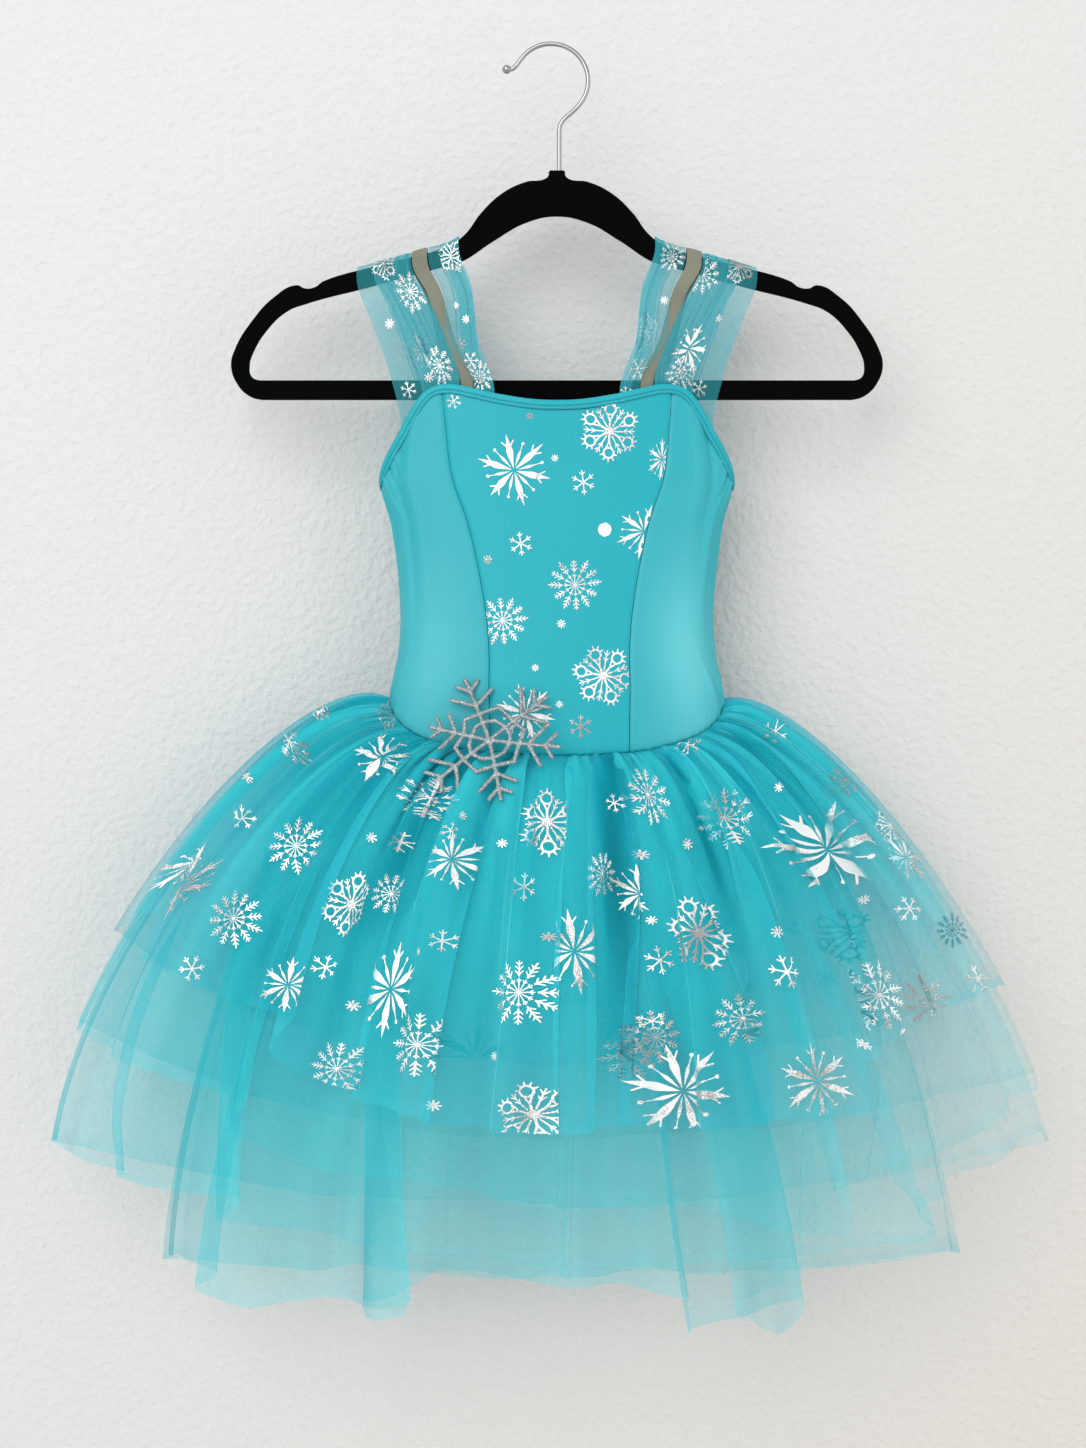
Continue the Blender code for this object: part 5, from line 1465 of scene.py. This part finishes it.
for index, layer in enumerate(SKIRT_LAYERS):
    name, node, finish_name, *hem_drops, narrow, own_from, hem_cover, hem_fade = layer
    turn = turn_at(columns_along)
    end = way_to(turn, blend(turn, hem_drops), narrow)
    rows = (np.arange(SKIRT_ROWS) / (SKIRT_ROWS - 1))[:, None] ** 1.12
    # The last row is only a hair below the one before it, for the firmer cut edge
    rows = np.concatenate([rows[:-1], [[1.0 - HEM_EDGE / 350.0]], rows[-1:]])
    way = rows * end[None, :]
    along = np.broadcast_to(columns_along, way.shape)
    round_turn = 2.0 * math.pi * (along - edge_low) / edge_round
    gather_shift, gather_out = gather_net(way, round_turn, index)
    pleat_shift, pleat_out, lit = pleat_net(PLEATS[name], way, along)
    moved, out = along + gather_shift + pleat_shift, gather_out + pleat_out
    thicker, shaded_by = np.zeros(way.shape), np.zeros(way.shape)
    for across, half, starts, ends, drift, shade, added in GAPS:
        t = (along - along_at("front", across) - drift * (way - 0.5)) / half
        weight = np.exp(-t * t) * ramp(way, starts, starts + 0.08) * (1.0 - ramp(way, ends - 0.2, ends))
        lit += max(shade, 0.0) * weight
        shaded_by += min(shade, 0.0) * weight
        thicker += added * weight
    slope = np.gradient(moved, columns_along, axis=1)
    crease = np.exp(-((slope / 0.25) ** 2))
    at_turn = turn_at(moved)
    through = fold_shift(FOLDS["skirt"], at_turn)
    own = fold_shift(FOLDS[node], at_turn)
    grown = np.clip((way - own_from) / (end[None, :] - own_from), 0.0, 1.0)
    grown = grown * grown * (3.0 - 2.0 * grown)
    inward = index * (LAYER_STEP + LAYER_SPREAD * way ** 1.2)
    points = fall_point(at_turn, way, narrow)
    points = points + fall_normal(at_turn, np.maximum(way, SEAM_LEAN), narrow) * (out - inward)[..., None]
    points = points + through * (way ** FOLD_GROWTH)[..., None] + own * grown[..., None]
    # The hem hangs in its own corners and steps over the front
    hem_across = fall_point(turn, end, narrow)[..., 0]
    hem_across = hem_across + (points[-1, :, 0] - fall_point(at_turn[-1], end, narrow)[..., 0])
    short = points[-1, :, 2] + np.interp(hem_across, *np.array(HEMS[name]).T)
    fall_line = unit(points[-1] - points[-10])
    slope_down = np.minimum(fall_line[:, 2], -0.45)
    over_front = ramp(np.cos(turn), -0.02, 0.20)
    pull_down = np.clip(-short / slope_down, -45.0, 45.0) * over_front
    points = points + fall_line * (pull_down * ramp(way / end, HEM_PULL_FROM, 1.0))[..., None]
    smooth_fall = fall_point(turn[None, :], way, narrow)
    ring = np.linalg.norm(np.roll(smooth_fall, -1, axis=1) - smooth_fall, axis=-1).sum(axis=1)
    gathered = (ring[-1] / ring)[:, None]
    sides = np.sin(turn)[None, :]
    thin = 1.0 - 0.70 * ramp(sides, 0.20, 0.80) - 0.25 * ramp(-sides, 0.60, 0.95)
    cover = hem_cover * gathered ** 1.1 * (1.0 + 0.8 * crease) * (1.0 + thicker)
    cover = cover * (1.0 + (thin - 1.0) * ramp(way, 0.25, 0.75))
    centred = np.exp(-((hem_across / 190.0) ** 4))[None, :]
    cover = cover * (1.0 - hem_fade * centred * ramp(way / end, 0.55, 1.0))
    cover[-2:] += HEM_COVER * (1.0 - hem_fade * centred)
    faces = grid_faces(*points.shape[:2], True)
    piece = add_piece(name, points.reshape(-1, 3), faces, nets[finish_name], [node])
    set_values(piece, "cover", cover)
    set_values(piece, "crease", crease * 0.8 * np.clip(1.0 + shaded_by, 0.0, 1.0))
    # Streaks of light and shade that run with the fall, as the net lies over its own gathers
    streak = np.zeros(way.shape)
    for wavelength, weight, phase in STREAKS:
        count = round(edge_round / wavelength)
        wander = 2.0 * np.sin(3.0 * round_turn + phase + index)
        wander = wander + 1.3 * np.sin(13.0 * round_turn + 2.0 * phase)
        slant = 1.5 * np.sin(2.5 * way + 4.0 * round_turn)
        streak += weight * np.sin(count * round_turn + wander + phase * 3.0 + slant)
    tone = np.clip(0.5 + 0.5 * streak + TONE_BY_DEPTH * out + lit, 0.0, 1.0) + shaded_by
    set_values(piece, "tone", tone)
    net_length = float(np.linalg.norm(np.diff(points, axis=0), axis=-1).sum(axis=0).mean())
    net_width = cloth_area(points, closed=True) / net_length
    prints = []
    if name == "overskirt_net":
        prints = [
            print_foil("skirt_front_foil", points, SKIRT_FLAKES, closed=True),
            print_foil("skirt_back_foil", points, back_flakes, closed=True, facing=1.0),
        ]

# Ornament
# A flat snowflake of rounded bars, covered in silver-grey glitter, stitched on over the waist seam at the
# wearer's right hip. Its arms are slightly bent and of uneven length.

# Middle of the ornament, its turns in degrees, then the radius of its bars and how much they are flattened
FLAKE_X = -41.0
FLAKE_DROP = 474.0
FLAKE_STAND = 52.65
FLAKE_TILT = 21.2
FLAKE_YAW = -5.0
FLAKE_SPIN = -13.0
FLAKE_BAR_R = 1.48
FLAKE_FLAT = 0.80
# Columns: turn of each arm off an even six, length, bend sideways at the tip
FLAKE_ARMS = (
    (6.0, 46.5, 1.0), (-6.0, 48.0, -1.2), (4.0, 46.5, 1.2), (1.0, 41.0, -0.8), (-8.0, 50.0, 1.4),
    (-3.0, 42.5, -1.0),
)
# Columns: share of the way out along the arm, share of its length, angle of the pair of twigs there
FLAKE_TWIGS = ((0.56, 0.37, 56.0), (0.80, 0.22, 52.0))
# Columns: share of the way out at an arm and between two arms of a ring's corners
FLAKE_RINGS = ((0.30, 0.30), (0.43, 0.51))
# Size of the small cells by which its bars are melted into one
FLAKE_VOXEL = 0.42

glitter, wire = new_finish("glitter", Metallic=0.55, Roughness=0.42, Specular_IOR_Level=0.5)
place = wire.node("ShaderNodeTexCoord", output=3)
cells = wire.node("ShaderNodeTexVoronoi", {"feature": "F1"}, {"Vector": place, "Scale": 1500.0}, 1)
grain = cells.node("ShaderNodeSeparateColor", None, {"Color": cells})
# The brightest glitter cells are painted near white as painted glints, and the rest take random greys
painted_glint = ((grain - 0.88) * 6.0).clamped()
shade = grain.mix((0.165, 0.200, 0.210, 1.0), (0.50, 0.56, 0.575, 1.0))
feed(
    glitter,
    Base_Color=painted_glint.mix(shade, (0.95, 0.95, 0.97, 1.0)),
    Roughness=grain * 0.35 + 0.25,
    Normal=grain.bump(0.9, 0.0006),
)


def rod(path, radius, sides=10, caps=3):
    """Points and faces of a round bar with round ends along a path in the flake's plane."""
    path = np.array(path, float)
    first, last = unit(path[1] - path[0]), unit(path[-1] - path[-2])
    spine, radii = [], []
    for k in range(caps, 0, -1):
        lean = math.pi / 2.0 * k / caps * 0.97
        spine.append(path[0] - first * radius * math.sin(lean))
        radii.append(radius * math.cos(lean))
    spine += list(path)
    radii += [radius] * len(path)
    for k in range(1, caps + 1):
        lean = math.pi / 2.0 * k / caps * 0.97
        spine.append(path[-1] + last * radius * math.sin(lean))
        radii.append(radius * math.cos(lean))
    flat = [(p[0], 0.0, p[1]) for p in spine]
    points = tube_points(flat, radii, sides).reshape(-1, 3)[:, [0, 2, 1]]
    return points, [tuple(face)[::-1] for face in tube_faces(len(spine), sides)]


flake_paths = []
flake_arms = []
for k, (off, length, bend) in enumerate(FLAKE_ARMS):
    arm = math.radians(60.0 * k + off)
    along = np.array([math.cos(arm), math.sin(arm)])
    aside = np.array([-along[1], along[0]])
    flake_arms.append((arm, length, along))
    flake_paths.append([along * length * t + aside * bend * t * t for t in np.linspace(0.0, 1.0, 8)])
    for out, share, angle in FLAKE_TWIGS:
        root = along * length * out + aside * bend * out * out
        for side in (1.0, -1.0):
            lean = arm + side * math.radians(angle + 4.0 * math.sin(5.0 * k + 9.0 * out + side))
            reach = length * share * (1.0 + 0.10 * math.sin(7.0 * k + 4.0 * out - side))
            twig = np.array([math.cos(lean), math.sin(lean)]) * reach
            flake_paths.append([root + twig * t for t in (0.0, 0.5, 1.0)])
for k in range(6):
    arm, length, along = flake_arms[k]
    next_arm, next_length, next_along = flake_arms[(k + 1) % 6]
    middle_turn = (arm + next_arm + (2.0 * math.pi if k == 5 else 0.0)) / 2.0
    between_arms = np.array([math.cos(middle_turn), math.sin(middle_turn)])
    for at_arm, between in FLAKE_RINGS:
        middle = between_arms * (length + next_length) / 2.0 * between
        for corner in (along * length * at_arm, next_along * next_length * at_arm):
            flake_paths.append([corner, (corner + middle) / 2.0, middle])
points, faces = [], []
for path in flake_paths:
    rod_points, rod_faces = rod(path, FLAKE_BAR_R)
    faces += [tuple(v + len(points) for v in face) for face in rod_faces]
    points += list(rod_points)
lattice = bpy.data.meshes.new("lattice")
lattice.from_pydata(np.array(points) * MM, [], faces)
pattern = bpy.data.objects.new("lattice", lattice)
bpy.context.scene.collection.objects.link(pattern)
merge = pattern.modifiers.new("merge", "REMESH")
merge.mode = "VOXEL"
merge.voxel_size = FLAKE_VOXEL * MM
soften = pattern.modifiers.new("soften", "SMOOTH")
soften.factor = 0.5
soften.iterations = 3
points, faces = made_shape(pattern)
flat_points = np.array(points) * np.array([1.0, 1.0, FLAKE_FLAT])
place = (
    Matrix.Translation(Vector((FLAKE_X, -FLAKE_STAND, -FLAKE_DROP)))
    @ Matrix.Rotation(math.radians(FLAKE_YAW), 4, "Z")
    @ Matrix.Rotation(math.radians(90.0 - FLAKE_TILT), 4, "X")
    @ Matrix.Rotation(math.radians(FLAKE_SPIN), 4, "Z")
)
turn = np.array(place.to_3x3())
points = flat_points @ turn.T + np.array(place.translation)
add_piece("glitter_snowflake", points, faces, glitter, ["snowflake_ornament"])

# Room
# A pale plastered wall close behind the dress and a pale floor, lit by a large soft lamp up on the left, a
# weaker one on the right and the light of the room.

CAMERA_X = -5.5
CAMERA_Z = -463.3
CAMERA_BACK = 1600.0
CAMERA_LENS = 58.2
WALL_Y = 62.0
FLOOR_Z = -1750.0
ROOM_HALF = 4000.0
LAMP_SIZE = 3.0
# Columns: name, power, colour, place and the place it is aimed at, in metres
LAMPS = (
    ("window_light", 76.0, (1.0, 0.985, 0.96), (-1.3, -3.3, 1.15), (0.0, 0.0, -0.45)),
    ("room_fill", 19.0, (1.0, 1.0, 1.0), (2.4, -2.2, -0.2), (0.1, 0.0, -0.5)),
)

plaster, wire = new_finish("plaster", Roughness=0.85, Specular_IOR_Level=0.2)
lumps = wire.noise(190.0, 3.0)
spot = wire.node("ShaderNodeTexCoord", output=3)
across_wall = spot.node("ShaderNodeSeparateXYZ", None, {"Vector": spot})
up_wall = spot.node("ShaderNodeSeparateXYZ", None, {"Vector": spot}, 2)
# The wall is painted darker and warmer towards the lower right, a painted falloff of the light from the upper
# left
painted_falloff = across_wall * 0.9 - up_wall * 0.55 - 0.05
shades = lumps.mix((0.955, 0.955, 0.955, 1.0), (1.0, 1.0, 1.0, 1.0))
feed(
    plaster,
    Base_Color=shades.tint(painted_falloff.clamped().mix((0.800, 0.810, 0.806, 1.0), (0.780, 0.742, 0.700, 1.0))),
    Normal=lumps.bump(1.0, 0.0020),
)
# Seen from behind, the wall is clear, so that the back of the dress shows
tree = plaster.node_tree
clear = Wire(tree).node("ShaderNodeBsdfTransparent")
behind = Wire(tree).node("ShaderNodeNewGeometry", output=6)
shaded = Wire(tree, tree.nodes["Principled BSDF"].outputs[0])
both = Wire(tree).node("ShaderNodeMixShader", None, {0: behind, 1: shaded, 2: clear})
tree.links.new(both.socket, tree.nodes["Material Output"].inputs["Surface"])
foot = [(-ROOM_HALF, WALL_Y, FLOOR_Z), (ROOM_HALF, WALL_Y, FLOOR_Z)]
for name, corners in (
    ("wall", foot + [(ROOM_HALF, WALL_Y, 2500.0), (-ROOM_HALF, WALL_Y, 2500.0)]),
    ("floor", [(-ROOM_HALF, -5000.0, FLOOR_Z), (ROOM_HALF, -5000.0, FLOOR_Z)] + foot[::-1]),
):
    mesh = bpy.data.meshes.new(name)
    mesh.from_pydata([Vector(c) * MM for c in corners], [], [(0, 1, 2, 3)])
    mesh.materials.append(plaster)
    surface = bpy.data.objects.new(name, mesh)
    bpy.context.scene.collection.objects.link(surface)

world = bpy.data.worlds.new("room_light")
world.use_nodes = True
world.node_tree.nodes["Background"].inputs["Color"].default_value = (0.97, 0.985, 1.0, 1.0)
world.node_tree.nodes["Background"].inputs["Strength"].default_value = 0.60
bpy.context.scene.world = world

for name, power, colour, at, aim in LAMPS:
    lamp = bpy.data.lights.new(name, "AREA")
    lamp.energy = power
    lamp.size = LAMP_SIZE
    lamp.color = colour
    lamp_object = bpy.data.objects.new(name, lamp)
    lamp_object.location = at
    lamp_object.rotation_euler = (Vector(aim) - Vector(at)).to_track_quat("-Z", "Y").to_euler()
    bpy.context.scene.collection.objects.link(lamp_object)

eye = bpy.data.cameras.new("camera")
eye.lens = CAMERA_LENS
eye.sensor_width = 36.0
eye.clip_end = 50.0
camera = bpy.data.objects.new("camera", eye)
camera.location = (CAMERA_X * MM, -CAMERA_BACK * MM, CAMERA_Z * MM)
camera.rotation_euler = (math.radians(90.0), 0.0, 0.0)
bpy.context.scene.collection.objects.link(camera)
bpy.context.scene.camera = camera
bpy.context.scene.view_settings.view_transform = "Standard"
bpy.context.scene.cycles.transparent_max_bounces = 64
